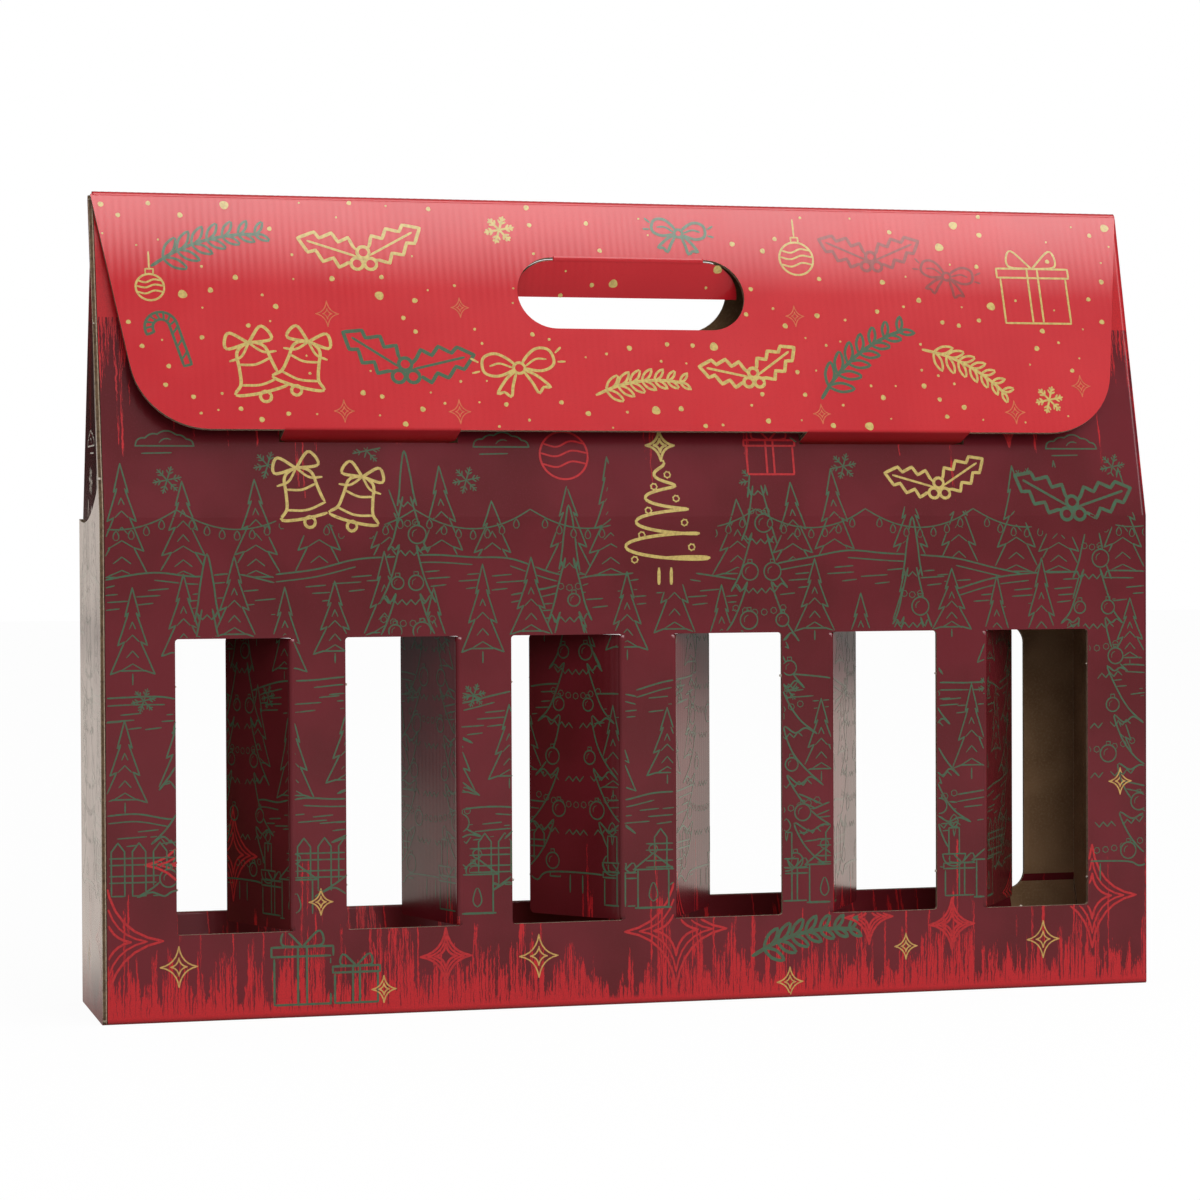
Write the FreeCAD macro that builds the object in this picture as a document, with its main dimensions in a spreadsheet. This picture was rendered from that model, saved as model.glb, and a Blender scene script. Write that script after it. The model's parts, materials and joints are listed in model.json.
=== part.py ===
import FreeCAD, Part
import math
import os
import Sketcher

# Carrier box for a row of six bottles, folded from one sheet of thin corrugated board.
# Frame: X along the row of windows, Y from the front (-Y) to the back, Z up.
# The origin is on the resting face, at the middle of the footprint.

# Driving sizes, in millimetres and degrees
SIZES = {
    "board": 1.8,              # thickness of the corrugated board
    "width": 508.0,            # across both end walls
    "depth": 83.6,             # front face to back face
    "shoulder": 228.5,         # height at which the front and back begin to lean
    "ridge_height": 376.6,     # height of the crease that the lid turns about
    "ridge_setback": 37.0,     # that crease, behind the front face
    "fold_radius": 1.2,        # rounding of the outer folds
    "layer_gap": 0.3,          # between two layers of board that lie together
    "edge_gap": 0.5,           # joint line between the left end wall and the front
    "seam_depth": 1.2,
    "gable_rim": 3.0,          # strip of the end wall that runs up beside the front slope
    "gable_rise": 14.0,        # height of the end wall's curved top at that strip
    "gable_sweep": 110.0,      # radius of that curved top
    "window_margin": 33.7,     # outer left end to the first window
    "window_end": 30.7,        # last window to the outer right end
    "window_width": 53.6,
    "window_height": 134.0,
    "window_sill": 39.5,
    "window_corner": 1.5,
    "cut_gap": 0.3,            # clearance left by the die round every flap
    "flap_corner": 2.5,        # radius of a flap's two free corners
    "back_corner": 9.0,        # corner radius of the long opening in the back
    "tray_lean": 20.0,         # lean of the tray's first panel, from upright
    "tray_upstand": 25.0,      # last panel of the tray, against the front
    "lid_length": 115.0,       # ridge crease to the lid's lower edge
    "lid_gap": 10.0,           # lid to front slope at that edge
    "lid_side_gap": 0.8,       # lid's top corners, in from the end walls
    "lid_inset": 20.5,         # how far each side of the lid has come in at that edge
    "lid_corner": 36.0,
    "tab_width": 82.0,
    "tab_length": 18.0,
    "tab_spacing": 250.0,
    "tab_shift": -4.0,         # middle of the two tabs, from the middle of the lid
    "tab_corner": 6.0,
    "slit_gap": 0.8,           # clearance round a tab in its slit
    "handle_length": 111.4,
    "handle_height": 36.2,
    "handle_drop": 45.7,       # ridge crease to the middle of the lid's hand hole
    "handle_relief": 3.0,      # how much the hole in the front slope is larger all round
    "back_handle_drop": 40.0,  # ridge crease down to the middle of the hole in the back
}

# How far each window flap is folded in, and the side that it hangs on
WINDOW_FLAPS = [
    ("right", 66.0),
    ("right", 73.0),
    ("right", 51.0),
    ("left", 56.0),
    ("left", 59.0),
    ("left", 55.0),
]
HANDLE_FLAP_ANGLE = 38.0

doc = FreeCAD.newDocument("BottleCarrier")
sheet = doc.addObject("Spreadsheet::Sheet", "Sizes")
angles = {"handle_angle": HANDLE_FLAP_ANGLE}
for number, (side, angle) in enumerate(WINDOW_FLAPS, 1):
    angles["flap_angle_%d" % number] = angle
for row, (alias, value) in enumerate({**SIZES, **angles}.items(), 1):
    sheet.set("A%d" % row, alias)
    sheet.set("B%d" % row, str(value))
    sheet.setAlias("B%d" % row, alias)
doc.recompute()


def sized(formula):
    """Write a formula with each size's own name read from the sheet."""
    names = sorted(list(SIZES) + list(angles), key=len, reverse=True)
    marked = formula
    for index, name in enumerate(names):
        marked = marked.replace(name, "<%d>" % index)
    for index, name in enumerate(names):
        marked = marked.replace("<%d>" % index, "Sizes." + name)
    return marked


def value_of(formula):
    """Value of a formula in the sheet's sizes, to start a sketch near its solved place."""
    result = sheet.evalExpression(sized(formula))
    return float(getattr(result, "Value", result))


# Places that several pieces share, as formulas in the sheet's sizes
SLOPE_RISE = "(ridge_height - shoulder)"
SLOPE_ANGLE = "(atan(ridge_setback / %s) / 1deg)" % SLOPE_RISE
LID_OPENING = "(asin(lid_gap / lid_length) / 1deg)"
LID_ANGLE = "(%s + %s)" % (SLOPE_ANGLE, LID_OPENING)
PITCH_STEPS = len(WINDOW_FLAPS) - 1
WINDOW_PITCH = "((width - window_margin - window_end - window_width) / %d)" % PITCH_STEPS
TAB_REACH = "sqrt(lid_length^2 + tab_length^2)"
OPENING_LEFT = "window_margin"
OPENING_RIGHT = "(width - window_end)"
HANDLE_HEIGHT_UP = "(ridge_height - handle_drop * cos(%s))" % LID_ANGLE


def new_body(name):
    """Body for one piece; its label names the file that it is written to."""
    body = doc.addObject("PartDesign::Body", name)
    body.Label = name
    return body


def sketch_on(body, role, name, offset=None):
    """Sketch on one of the body's own planes, moved along its normal by a formula."""
    sketch = body.newObject("Sketcher::SketchObject", name)
    plane = [item for item in body.Origin.OriginFeatures if item.Role == role][0]
    sketch.AttachmentSupport = [(plane, "")]
    sketch.MapMode = "FlatFace"
    if offset:
        sketch.setExpression(".AttachmentOffset.Base.z", sized(offset))
    return sketch


def pin(sketch, geometry, point, across, up):
    """Hold one point of a sketch at two formulas, measured from the sketch's origin."""
    for kind, formula in (("DistanceX", across), ("DistanceY", up)):
        start = value_of(formula)
        index = sketch.addConstraint(Sketcher.Constraint(kind, -1, 1, geometry, point, start))
        sketch.setExpression("Constraints[%d]" % index, sized(formula))


def outline(sketch, corners):
    """Closed run of straight lines through corners given as pairs of formulas."""
    places = [FreeCAD.Vector(value_of(a), value_of(b), 0) for a, b in corners]
    for index, place in enumerate(places):
        following = places[(index + 1) % len(places)]
        sketch.addGeometry(Part.LineSegment(place, following), False)
    for index in range(len(places)):
        following = (index + 1) % len(places)
        sketch.addConstraint(Sketcher.Constraint("Coincident", index, 2, following, 1))
    for index, (across, up) in enumerate(corners):
        pin(sketch, index, 1, across, up)


def rounded(sketch, left, low, right, high, radius):
    """Rectangle with four round corners: lines and arcs pinned at their ends and centres."""
    x1, y1, x2, y2, rad = [value_of(item) for item in (left, low, right, high, radius)]
    ends = [(x1 + rad, y1, x2 - rad, y1), (x2, y1 + rad, x2, y2 - rad),
            (x2 - rad, y2, x1 + rad, y2), (x1, y2 - rad, x1, y1 + rad)]
    for start_x, start_y, end_x, end_y in ends:
        start = FreeCAD.Vector(start_x, start_y, 0)
        finish = FreeCAD.Vector(end_x, end_y, 0)
        sketch.addGeometry(Part.LineSegment(start, finish), False)
    centres = [(x2 - rad, y1 + rad, -90), (x2 - rad, y2 - rad, 0),
               (x1 + rad, y2 - rad, 90), (x1 + rad, y1 + rad, 180)]
    for x, y, turn in centres:
        circle = Part.Circle(FreeCAD.Vector(x, y, 0), FreeCAD.Vector(0, 0, 1), rad)
        arc = Part.ArcOfCircle(circle, math.radians(turn), math.radians(turn + 90))
        sketch.addGeometry(arc, False)
    for side in range(4):
        sketch.addConstraint(Sketcher.Constraint("Tangent", side, 2, 4 + side, 1))
        sketch.addConstraint(Sketcher.Constraint("Tangent", 4 + side, 2, (side + 1) % 4, 1))
        kind = "Horizontal" if side % 2 == 0 else "Vertical"
        sketch.addConstraint(Sketcher.Constraint(kind, side))
        if side:
            sketch.addConstraint(Sketcher.Constraint("Equal", 4, 4 + side))
    pin(sketch, 7, 3, "(%s) + (%s)" % (left, radius), "(%s) + (%s)" % (low, radius))
    pin(sketch, 5, 3, "(%s) - (%s)" % (right, radius), "(%s) - (%s)" % (high, radius))
    index = sketch.addConstraint(Sketcher.Constraint("Radius", 4, rad))
    sketch.setExpression("Constraints[%d]" % index, sized(radius))


def pad(body, sketch, name, length, reverse=False):
    """Add the sketch's shape for a length along its normal."""
    feature = body.newObject("PartDesign::Pad", name)
    feature.Profile = sketch
    feature.Reversed = reverse
    feature.setExpression("Length", sized(length))
    return feature


def cut(body, sketch, name, length, reverse=False):
    """Take the sketch's shape away for a length, and make sure that something went."""
    doc.recompute()
    before = body.Shape.Volume
    feature = body.newObject("PartDesign::Pocket", name)
    feature.Profile = sketch
    feature.Reversed = reverse
    feature.setExpression("Length", sized(length))
    doc.recompute()
    if not body.Shape.Volume < before - 0.01:
        raise RuntimeError(name + " cuts nothing")
    return feature


def place(body, across, back, up, axis=None, angle=None):
    """Bind a body's place, and its turn about one axis, to formulas."""
    for letter, formula in (("x", across), ("y", back), ("z", up)):
        body.setExpression(".Placement.Base.%s" % letter, sized(formula))
    if axis:
        body.Placement = FreeCAD.Placement(FreeCAD.Vector(), FreeCAD.Rotation(axis, 1))
        body.setExpression(".Placement.Rotation.Angle", sized(angle))


def slot(sketch, middle, up, length, height):
    """Long hole with half-round ends, from its middle, its full length and its height."""
    x, y, whole, tall = [value_of(item) for item in (middle, up, length, height)]
    rad = tall / 2
    reach = whole / 2 - rad
    for sign in (-1, 1):
        start = FreeCAD.Vector(x + sign * reach, y + sign * rad, 0)
        finish = FreeCAD.Vector(x - sign * reach, y + sign * rad, 0)
        sketch.addGeometry(Part.LineSegment(start, finish), False)
    for sign, turn in ((-1, 90), (1, -90)):
        circle = Part.Circle(FreeCAD.Vector(x + sign * reach, y, 0), FreeCAD.Vector(0, 0, 1), rad)
        arc = Part.ArcOfCircle(circle, math.radians(turn), math.radians(turn + 180))
        sketch.addGeometry(arc, False)
    for line, end, arc, tip in ((0, 1, 2, 2), (0, 2, 3, 1), (1, 1, 3, 2), (1, 2, 2, 1)):
        sketch.addConstraint(Sketcher.Constraint("Tangent", line, end, arc, tip))
    offset = "((%s) - (%s)) / 2" % (length, height)
    pin(sketch, 2, 3, "(%s) - %s" % (middle, offset), up)
    pin(sketch, 3, 3, "(%s) + %s" % (middle, offset), up)
    index = sketch.addConstraint(Sketcher.Constraint("Radius", 2, rad))
    sketch.setExpression("Constraints[%d]" % index, sized("(%s) / 2" % height))


def bent_outline(sketch, corners, bends):
    """Closed outline in which the sides named in bends are arcs of a given radius.

    A bend's radius is a formula; its centre lies to the left of the side's direction.
    """
    places = [FreeCAD.Vector(value_of(a), value_of(b), 0) for a, b in corners]
    count = len(places)
    for index, place in enumerate(places):
        following = places[(index + 1) % count]
        if index not in bends:
            sketch.addGeometry(Part.LineSegment(place, following), False)
            continue
        radius = value_of(bends[index])
        chord = following - place
        rise = math.sqrt(max(radius ** 2 - (chord.Length / 2) ** 2, 0))
        left = FreeCAD.Vector(-chord.y, chord.x, 0).normalize()
        centre = place + chord * 0.5 + left * rise
        middle = centre - left * radius
        sketch.addGeometry(Part.Arc(place, middle, following), False)
    for index in range(count):
        following = (index + 1) % count
        sketch.addConstraint(Sketcher.Constraint("Coincident", index, 2, following, 1))
    for index, (across, up) in enumerate(corners):
        pin(sketch, index, 1, across, up)
    for index, radius in bends.items():
        place = sketch.addConstraint(Sketcher.Constraint("Radius", index, value_of(radius)))
        sketch.setExpression("Constraints[%d]" % place, sized(radius))


def row_of(body, sketch, feature, name, length, count):
    """Repeat a cut along X at even steps."""
    pattern = body.newObject("PartDesign::LinearPattern", name)
    pattern.Originals = [feature]
    pattern.Direction = (sketch, ["H_Axis"])
    pattern.setExpression("Length", sized(length))
    pattern.Occurrences = count
    body.Tip = pattern
    return pattern


def rounded_edges(body, feature, name, radius, wanted):
    """Round the edges of a feature whose middle point passes the test."""
    doc.recompute()
    edges = feature.Shape.Edges
    chosen = ["Edge%d" % (i + 1) for i, edge in enumerate(edges) if wanted(edge)]
    fillet = body.newObject("PartDesign::Fillet", name)
    fillet.Base = (feature, chosen)
    fillet.setExpression("Radius", sized(radius))
    return fillet


def make_carton():
    """Folded box: walls, bottom, two slopes, their cut-outs and the tray folded inside."""
    body = new_body("carton")
    profile = sketch_on(body, "YZ_Plane", "end_outline")
    outline(profile, [
        ("0", "0"), ("depth", "0"), ("depth", "shoulder"),
        ("ridge_setback + board", "ridge_height"), ("ridge_setback", "ridge_height"),
        ("0", "shoulder")])
    block = pad(body, profile, "folded_walls", "width")
    ridge = value_of("ridge_height")
    rounded_edges(body, block, "fold_rounding", "fold_radius",
                  lambda edge: edge.Length > value_of("width") - 1
                  and edge.CenterOfMass.z < ridge - 1)

    # Space for the bottles; each end wall is two boards thick
    inside = sketch_on(body, "YZ_Plane", "inner_outline", "2 * board")
    share = "((depth - 2 * board) / (depth - board))"
    outline(inside, [
        ("board", "board"), ("depth - board", "board"), ("depth - board", "shoulder"),
        ("board + ridge_setback * " + share, "shoulder + %s * %s" % (SLOPE_RISE, share)),
        ("board", "shoulder")])
    cut(body, inside, "bottle_space", "width - 4 * board", reverse=True)

    # One long opening in the back, as wide as the row of windows
    behind = sketch_on(body, "XZ_Plane", "back_opening_outline", "-depth")
    rounded(behind, OPENING_LEFT, "window_sill", OPENING_RIGHT,
            "window_sill + window_height", "back_corner")
    cut(body, behind, "back_opening", "2 * board", reverse=True)
    make_tray(body)

    # Six windows
    front = sketch_on(body, "XZ_Plane", "window_outline")
    rounded(front, "window_margin", "window_sill", "window_margin + window_width",
            "window_sill + window_height", "window_corner")
    window = cut(body, front, "window", "2 * board")
    row_of(body, front, window, "window_row", "%d * %s" % (PITCH_STEPS, WINDOW_PITCH),
           len(WINDOW_FLAPS))

    # Hand hole through both slopes, wider in the front one to clear the lid's folded flap
    grip = sketch_on(body, "XZ_Plane", "front_hand_hole_outline")
    slot(grip, "width / 2", HANDLE_HEIGHT_UP, "handle_length + 2 * handle_relief",
         "handle_height + 2 * handle_relief")
    cut(body, grip, "front_hand_hole", "ridge_setback")
    grip = sketch_on(body, "XZ_Plane", "back_hand_hole_outline", "-depth")
    slot(grip, "width / 2", "ridge_height - back_handle_drop", "handle_length", "handle_height")
    cut(body, grip, "back_hand_hole", "depth - ridge_setback", reverse=True)

    # Two slits that take the lid's tabs; a tab's far edge swings lower than its root
    slit = sketch_on(body, "XZ_Plane", "slit_outline")
    half = "(tab_width / 2 + slit_gap)"
    middle = "(width / 2 + tab_shift - tab_spacing / 2)"
    low = "(ridge_height - (%s + slit_gap) * cos(%s))" % (TAB_REACH, SLOPE_ANGLE)
    high = "(ridge_height - (lid_length - board - slit_gap) * cos(%s))" % SLOPE_ANGLE
    outline(slit, [("%s - %s" % (middle, half), low), ("%s + %s" % (middle, half), low),
                   ("%s + %s" % (middle, half), high), ("%s - %s" % (middle, half), high)])
    opening = cut(body, slit, "tab_slit", "ridge_setback")
    row_of(body, slit, opening, "tab_slits", "tab_spacing", 2)

    make_gable_recess(body, "left", "0", True)
    make_gable_recess(body, "right", "width", False)

    # Joint line where the left end wall's cut edge shows beside the front
    seam = sketch_on(body, "YZ_Plane", "front_seam_outline", "board")
    outline(seam, [("-board", "-board"), ("seam_depth", "-board"), ("seam_depth", "shoulder"),
                   ("ridge_setback + seam_depth", "ridge_height"),
                   ("ridge_setback - board", "ridge_height"), ("-board", "shoulder")])
    cut(body, seam, "front_seam", "edge_gap", reverse=True)
    place(body, "-width / 2", "-depth / 2", "0")
    return body


def make_tray(body):
    """Cut-out of the back opening, folded in over the sill, down, forward and up again."""
    lean = "tray_lean"
    floor = "(board + layer_gap)"
    front = "(board + layer_gap)"
    back = "(depth - board)"
    printed_y = "(%s - board * cos(%s))" % (back, lean)
    printed_z = "(window_sill + board * sin(%s))" % lean
    side = sketch_on(body, "YZ_Plane", "tray_outline", OPENING_LEFT + " + back_corner")
    bent_outline(side, [
        ("depth", "window_sill"),
        (printed_y, printed_z),
        ("%s - tan(%s) * (%s - %s - board)" % (printed_y, lean, printed_z, floor),
         floor + " + board"),
        (front + " + board", floor + " + board"),
        (front + " + board", floor + " + tray_upstand"),
        (front, floor + " + tray_upstand"),
        (front, floor),
        ("%s - tan(%s) * (window_sill - %s)" % (back, lean, floor), floor),
        (back, "window_sill")], {0: "board"})
    length = "%s - %s - 2 * back_corner" % (OPENING_RIGHT, OPENING_LEFT)
    pad(body, side, "tray", length)


def make_gable_recess(body, name, offset, reverse):
    """Outer board of an end wall cut back above the shoulder, but for a rim at the front."""
    recess = sketch_on(body, "YZ_Plane", "%s_gable_outline" % name, offset)
    rim = "gable_rim + ridge_setback * gable_rise / %s" % SLOPE_RISE
    above = "ridge_height + board"
    over = "ridge_setback * (1 + board / %s)" % SLOPE_RISE
    bent_outline(recess, [
        ("depth + board", "shoulder"),
        ("depth + board", above),
        (over + " + gable_rim", above),
        (rim, "shoulder + gable_rise"),
        ("depth", "shoulder")], {3: "gable_sweep"})
    cut(body, recess, "%s_gable_recess" % name, "board", reverse=reverse)


def make_lid():
    """Lid panel with its hand hole and the two tabs folded in at its lower edge.

    It is drawn with its lower edge at zero and its inner face on Y zero.
    """
    body = new_body("lid")
    panel = sketch_on(body, "XZ_Plane", "lid_outline")
    outline(panel, [("lid_inset", "0"), ("width - lid_inset", "0"),
                    ("width - lid_side_gap", "lid_length"), ("lid_side_gap", "lid_length")])
    plate = pad(body, panel, "lid_panel", "board")
    rounded_edges(body, plate, "lid_corners", "lid_corner",
                  lambda edge: abs(edge.Length - value_of("board")) < 0.01
                  and edge.CenterOfMass.z < 1)
    tab = sketch_on(body, "XY_Plane", "tab_outline")
    left = "width / 2 + tab_shift - tab_spacing / 2 - tab_width / 2"
    right = left + " + tab_width"
    outline(tab, [(left, "0"), (right, "0"), (right, "tab_length - tab_corner"),
                  (right + " - tab_corner", "tab_length"), (left + " + tab_corner", "tab_length"),
                  (left, "tab_length - tab_corner")])
    first = pad(body, tab, "lid_tab", "board")
    doc.recompute()
    row_of(body, tab, first, "lid_tabs", "tab_spacing", 2)
    fold = sketch_on(body, "YZ_Plane", "tab_fold_outline", left)
    bent_outline(fold, [("-board", "0"), ("-board", "fold_radius"), ("fold_radius - board", "0")],
                 {1: "fold_radius"})
    rounding = cut(body, fold, "tab_fold", "tab_width", reverse=True)
    row_of(body, tab, rounding, "tab_folds", "tab_spacing", 2)
    hole = sketch_on(body, "XZ_Plane", "hand_hole_outline")
    slot(hole, "width / 2", "lid_length - handle_drop", "handle_length", "handle_height")
    cut(body, hole, "hand_hole", "board", reverse=True)
    place(body, "-width / 2",
          "ridge_setback - depth / 2 - lid_length * sin(%s)" % LID_ANGLE,
          "ridge_height - lid_length * cos(%s)" % LID_ANGLE,
          FreeCAD.Vector(1, 0, 0), "-" + LID_ANGLE)
    return body


def make_handle_flap():
    """Upper half of the lid's hand hole, left on its straight top edge and folded in."""
    body = new_body("handle_flap")
    shape = sketch_on(body, "XZ_Plane", "handle_flap_outline")
    radius = "(handle_height / 2)"
    top = "(%s - cut_gap)" % radius
    bent_outline(shape, [
        ("cut_gap", "0"), ("handle_length - cut_gap", "0"),
        ("handle_length - " + radius, top), (radius, top)], {1: top, 3: top})
    pad(body, shape, "handle_flap_panel", "board")
    turn = "(%s - handle_angle)" % LID_ANGLE
    drop = "(handle_drop - handle_height / 2)"
    place(body, "-handle_length / 2",
          "ridge_setback - depth / 2 - %s * sin(%s) - %s * sin(%s)" % (drop, LID_ANGLE, radius, turn),
          "ridge_height - %s * cos(%s) - %s * cos(%s)" % (drop, LID_ANGLE, radius, turn),
          FreeCAD.Vector(1, 0, 0), "-" + turn)
    return body


def make_window_flap(number, side):
    """Cut-out of one window, still hanging on one upright edge and folded in."""
    body = new_body("window_flap_%d" % number)
    shape = sketch_on(body, "XZ_Plane", "window_flap_%d_outline" % number)
    reach = "(window_width - 2 * cut_gap)"
    outline(shape, [("0", "0"), (reach, "0"), (reach, "window_height - 2 * cut_gap"),
                    ("0", "window_height - 2 * cut_gap")])
    plate = pad(body, shape, "window_flap_%d_panel" % number, "board")
    free = 0 if side == "right" else value_of(reach)
    tip = rounded_edges(body, plate, "window_flap_%d_free_corners" % number, "flap_corner",
                        lambda edge: abs(edge.Length - value_of("board")) < 0.01
                        and abs(edge.CenterOfMass.x - free) < 0.01)
    hung = value_of(reach) - free
    rounded_edges(body, tip, "window_flap_%d_hinge_corners" % number, "window_corner",
                  lambda edge: abs(edge.Length - value_of("board")) < 0.01
                  and abs(edge.CenterOfMass.x - hung) < 0.01)
    angle = "flap_angle_%d" % number
    start = "window_margin + %d * %s - width / 2" % (number - 1, WINDOW_PITCH)
    upright = FreeCAD.Vector(0, 0, 1)
    if side == "right":
        place(body, "%s + window_width - (window_width - cut_gap) * cos(%s)" % (start, angle),
              "board - depth / 2 + (window_width - cut_gap) * sin(%s)" % angle,
              "window_sill + cut_gap", upright, "-" + angle)
    else:
        place(body, "%s + cut_gap * cos(%s)" % (start, angle),
              "board - depth / 2 + cut_gap * sin(%s)" % angle,
              "window_sill + cut_gap", upright, angle)
    return body


def check_all(pieces):
    """Stop if any object failed, or a piece is empty, broken or in several lumps."""
    doc.recompute()
    for item in doc.Objects:
        if "Invalid" in item.State or "Error" in item.State:
            raise RuntimeError(item.Name + " is in state " + str(item.State))
    for piece in pieces:
        shape = piece.Shape
        if shape.isNull() or not shape.isValid() or len(shape.Solids) != 1:
            raise RuntimeError(piece.Label + " has a bad shape")


def main():
    pieces = [make_carton(), make_lid(), make_handle_flap()]
    for number, (side, angle) in enumerate(WINDOW_FLAPS, 1):
        pieces.append(make_window_flap(number, side))
    check_all(pieces)
    os.makedirs("parts", exist_ok=True)
    for piece in pieces:
        piece.Shape.exportStep("parts/%s.step" % piece.Label)
        box = piece.Shape.BoundBox
        print(piece.Label, round(piece.Shape.Volume), [round(v, 2) for v in (
            box.XMin, box.YMin, box.ZMin, box.XMax, box.YMax, box.ZMax)])


main()
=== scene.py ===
"""Looks of a folded board carrier for a row of bottles: print, creases, cut edges and stage."""
import json
import math

import bmesh
import bpy
import numpy as np
from bpy.props import FloatProperty, FloatVectorProperty, IntProperty
from mathutils import Matrix


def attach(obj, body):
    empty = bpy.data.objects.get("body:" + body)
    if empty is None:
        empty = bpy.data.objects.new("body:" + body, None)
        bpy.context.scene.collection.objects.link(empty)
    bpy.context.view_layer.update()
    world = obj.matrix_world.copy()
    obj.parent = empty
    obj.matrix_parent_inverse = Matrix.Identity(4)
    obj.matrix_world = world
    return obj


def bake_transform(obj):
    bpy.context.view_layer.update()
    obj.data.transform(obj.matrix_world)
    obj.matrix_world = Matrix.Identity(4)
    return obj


bl_info = {
    "name": "Folded Bottle Carrier",
    "version": (1, 0, 0),
    "blender": (4, 5, 0),
    "location": "View3D > Sidebar > Carrier",
    "description": "Printed surfaces, creases, cut edges and stage for a windowed board carrier",
    "category": "Object",
}

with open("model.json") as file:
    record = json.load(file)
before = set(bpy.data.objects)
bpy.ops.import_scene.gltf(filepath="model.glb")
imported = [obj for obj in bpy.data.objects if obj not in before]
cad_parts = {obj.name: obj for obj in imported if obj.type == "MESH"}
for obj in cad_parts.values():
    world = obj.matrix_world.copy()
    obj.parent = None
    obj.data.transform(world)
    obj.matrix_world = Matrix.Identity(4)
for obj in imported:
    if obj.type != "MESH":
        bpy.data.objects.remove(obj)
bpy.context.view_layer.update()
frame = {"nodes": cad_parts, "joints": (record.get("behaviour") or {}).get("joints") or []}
NODES = frame["nodes"]
JOINTS = {joint["child"]: joint for joint in frame["joints"]}

# Sizes of the folded sheet, in millimetres
BOARD = 1.8
HALF_WIDTH = 254.0
HALF_DEPTH = 41.8
SHOULDER = 228.5
RIDGE_Y, RIDGE_Z = [1000 * value for value in JOINTS["lid"]["pos_m"][1:]]
BACK_RIDGE_Y = RIDGE_Y + BOARD
LID_LENGTH = 115.0
LID_GAP = 10.0
SILL, WINDOW_TOP = 39.5, 173.5
WINDOW_WIDTH = 53.6
FIRST_WINDOW, PITCH = -220.3, 78.0
SLOPE = math.atan2(RIDGE_Y + HALF_DEPTH, RIDGE_Z - SHOULDER)
BACK_SLOPE = math.atan2(HALF_DEPTH - BACK_RIDGE_Y, RIDGE_Z - SHOULDER)
LID_LEAN = SLOPE + math.asin(LID_GAP / LID_LENGTH)
TRAY_LEAN = math.radians(20.0)
LIFT = 0.05  # ink above the board
GRIP_DOWN, GRIP_HALF, GRIP_RADIUS = 45.7, 55.7, 18.1  # hand hole: distance from the ridge and size
BACK_GRIP_DROP, BACK_GRIP_RADIUS = 40.0, 19.0
LID_CORNER, LID_TAPER = 36.0, 19.7
TAB_SPANS = ((-170.0, -88.0), (80.0, 162.0))
RIDGE_SPAN, GRIP_SPAN = (-252.3, 252.9), (-37.0, 37.0)  # where the creases' paper starts and ends
GABLE_Y, GABLE_Z, GABLE_RADIUS = 21.6, 336.6, 108.6  # curve that the outer board leaves over a gable
CAMERA_PLACE = (-0.4238, -1.5523, 0.2166)
CAMERA_TURN = (0.2602, -0.0173, -0.0043)  # yaw, pitch and roll in radians
ACROSS = (1.0, 0.0, 0.0)
FRONT_OUT = (0.0, -1.0, 0.0)
LID_OUT = (0.0, -math.cos(LID_LEAN), math.sin(LID_LEAN))
LID_DOWN = np.array([0, -math.sin(LID_LEAN), -math.cos(LID_LEAN)])
RIDGE = np.array([0, RIDGE_Y, RIDGE_Z])


def unit(*parts):
    """Vector of three parts, divided by its length."""
    vector = np.array(parts, float)
    return vector / np.linalg.norm(vector)


def divider(number):
    """Body name of the divider of a window, 1 to 6."""
    return "window_flap_%d" % number


def folded(body):
    """Angle that a flap is folded in at rest: the distance from flush to rest."""
    return -math.radians(JOINTS[body]["range_deg"][0])


def hinge_place(body):
    """Place of a body's hinge in millimetres."""
    return 1000 * np.array(JOINTS[body]["pos_m"])


# --- Sheets: each maps (across, along) on a flat print to a place in the frame ---

def wall_sheet(points, lift, side, slope):
    """A long wall and the slope above it; side is -1 for the front and 1 for the back.

    Across is X. Along runs up the wall to the shoulder, and from there up the slope:
    place = (X, side (half depth - over sin slope), height + over cos slope) + lift normal.
    """
    over = np.maximum(points[:, 1] - SHOULDER, 0.0)
    lean = np.where(points[:, 1] > SHOULDER, slope, 0.0)
    place = np.stack([points[:, 0], side * (HALF_DEPTH - over * math.sin(slope)),
                      np.minimum(points[:, 1], SHOULDER) + over * math.cos(slope)], 1)
    normal = np.stack([np.zeros_like(lean), side * np.cos(lean), np.sin(lean)], 1)
    return place + np.reshape(lift, (-1, 1)) * normal


def front_sheet(points, lift=LIFT):
    """Front and its slope, with the wall's formula."""
    return wall_sheet(points, lift, -1.0, SLOPE)


def back_sheet(points, lift=LIFT):
    """Back and its slope, with the wall's formula."""
    return wall_sheet(points, lift, 1.0, BACK_SLOPE)


def end_sheet(side):
    """An end wall: across is Y, along is Z. The gable above the shoulder is a board further in."""
    def sheet(points, lift=LIFT):
        """x = side (half width - recess + 0.4 lift): less lift, as the gloss shows its shadow here."""
        recess = np.where(points[:, 1] > SHOULDER, BOARD, 0.0)
        return np.stack([side * (HALF_WIDTH - recess + 0.4 * lift), points[:, 0], points[:, 1]], 1)
    return sheet


def lid_sheet(points, lift=LIFT):
    """Lid: across is X, along is the distance down from the ridge crease.

    place = crease + along (0, -sin lean, -cos lean) + (board + lift) (0, -cos lean, sin lean).
    """
    out = BOARD + np.reshape(lift, (-1, 1))
    return points[:, :1] * ACROSS + RIDGE + points[:, 1:] * LID_DOWN + out * LID_OUT


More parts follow.
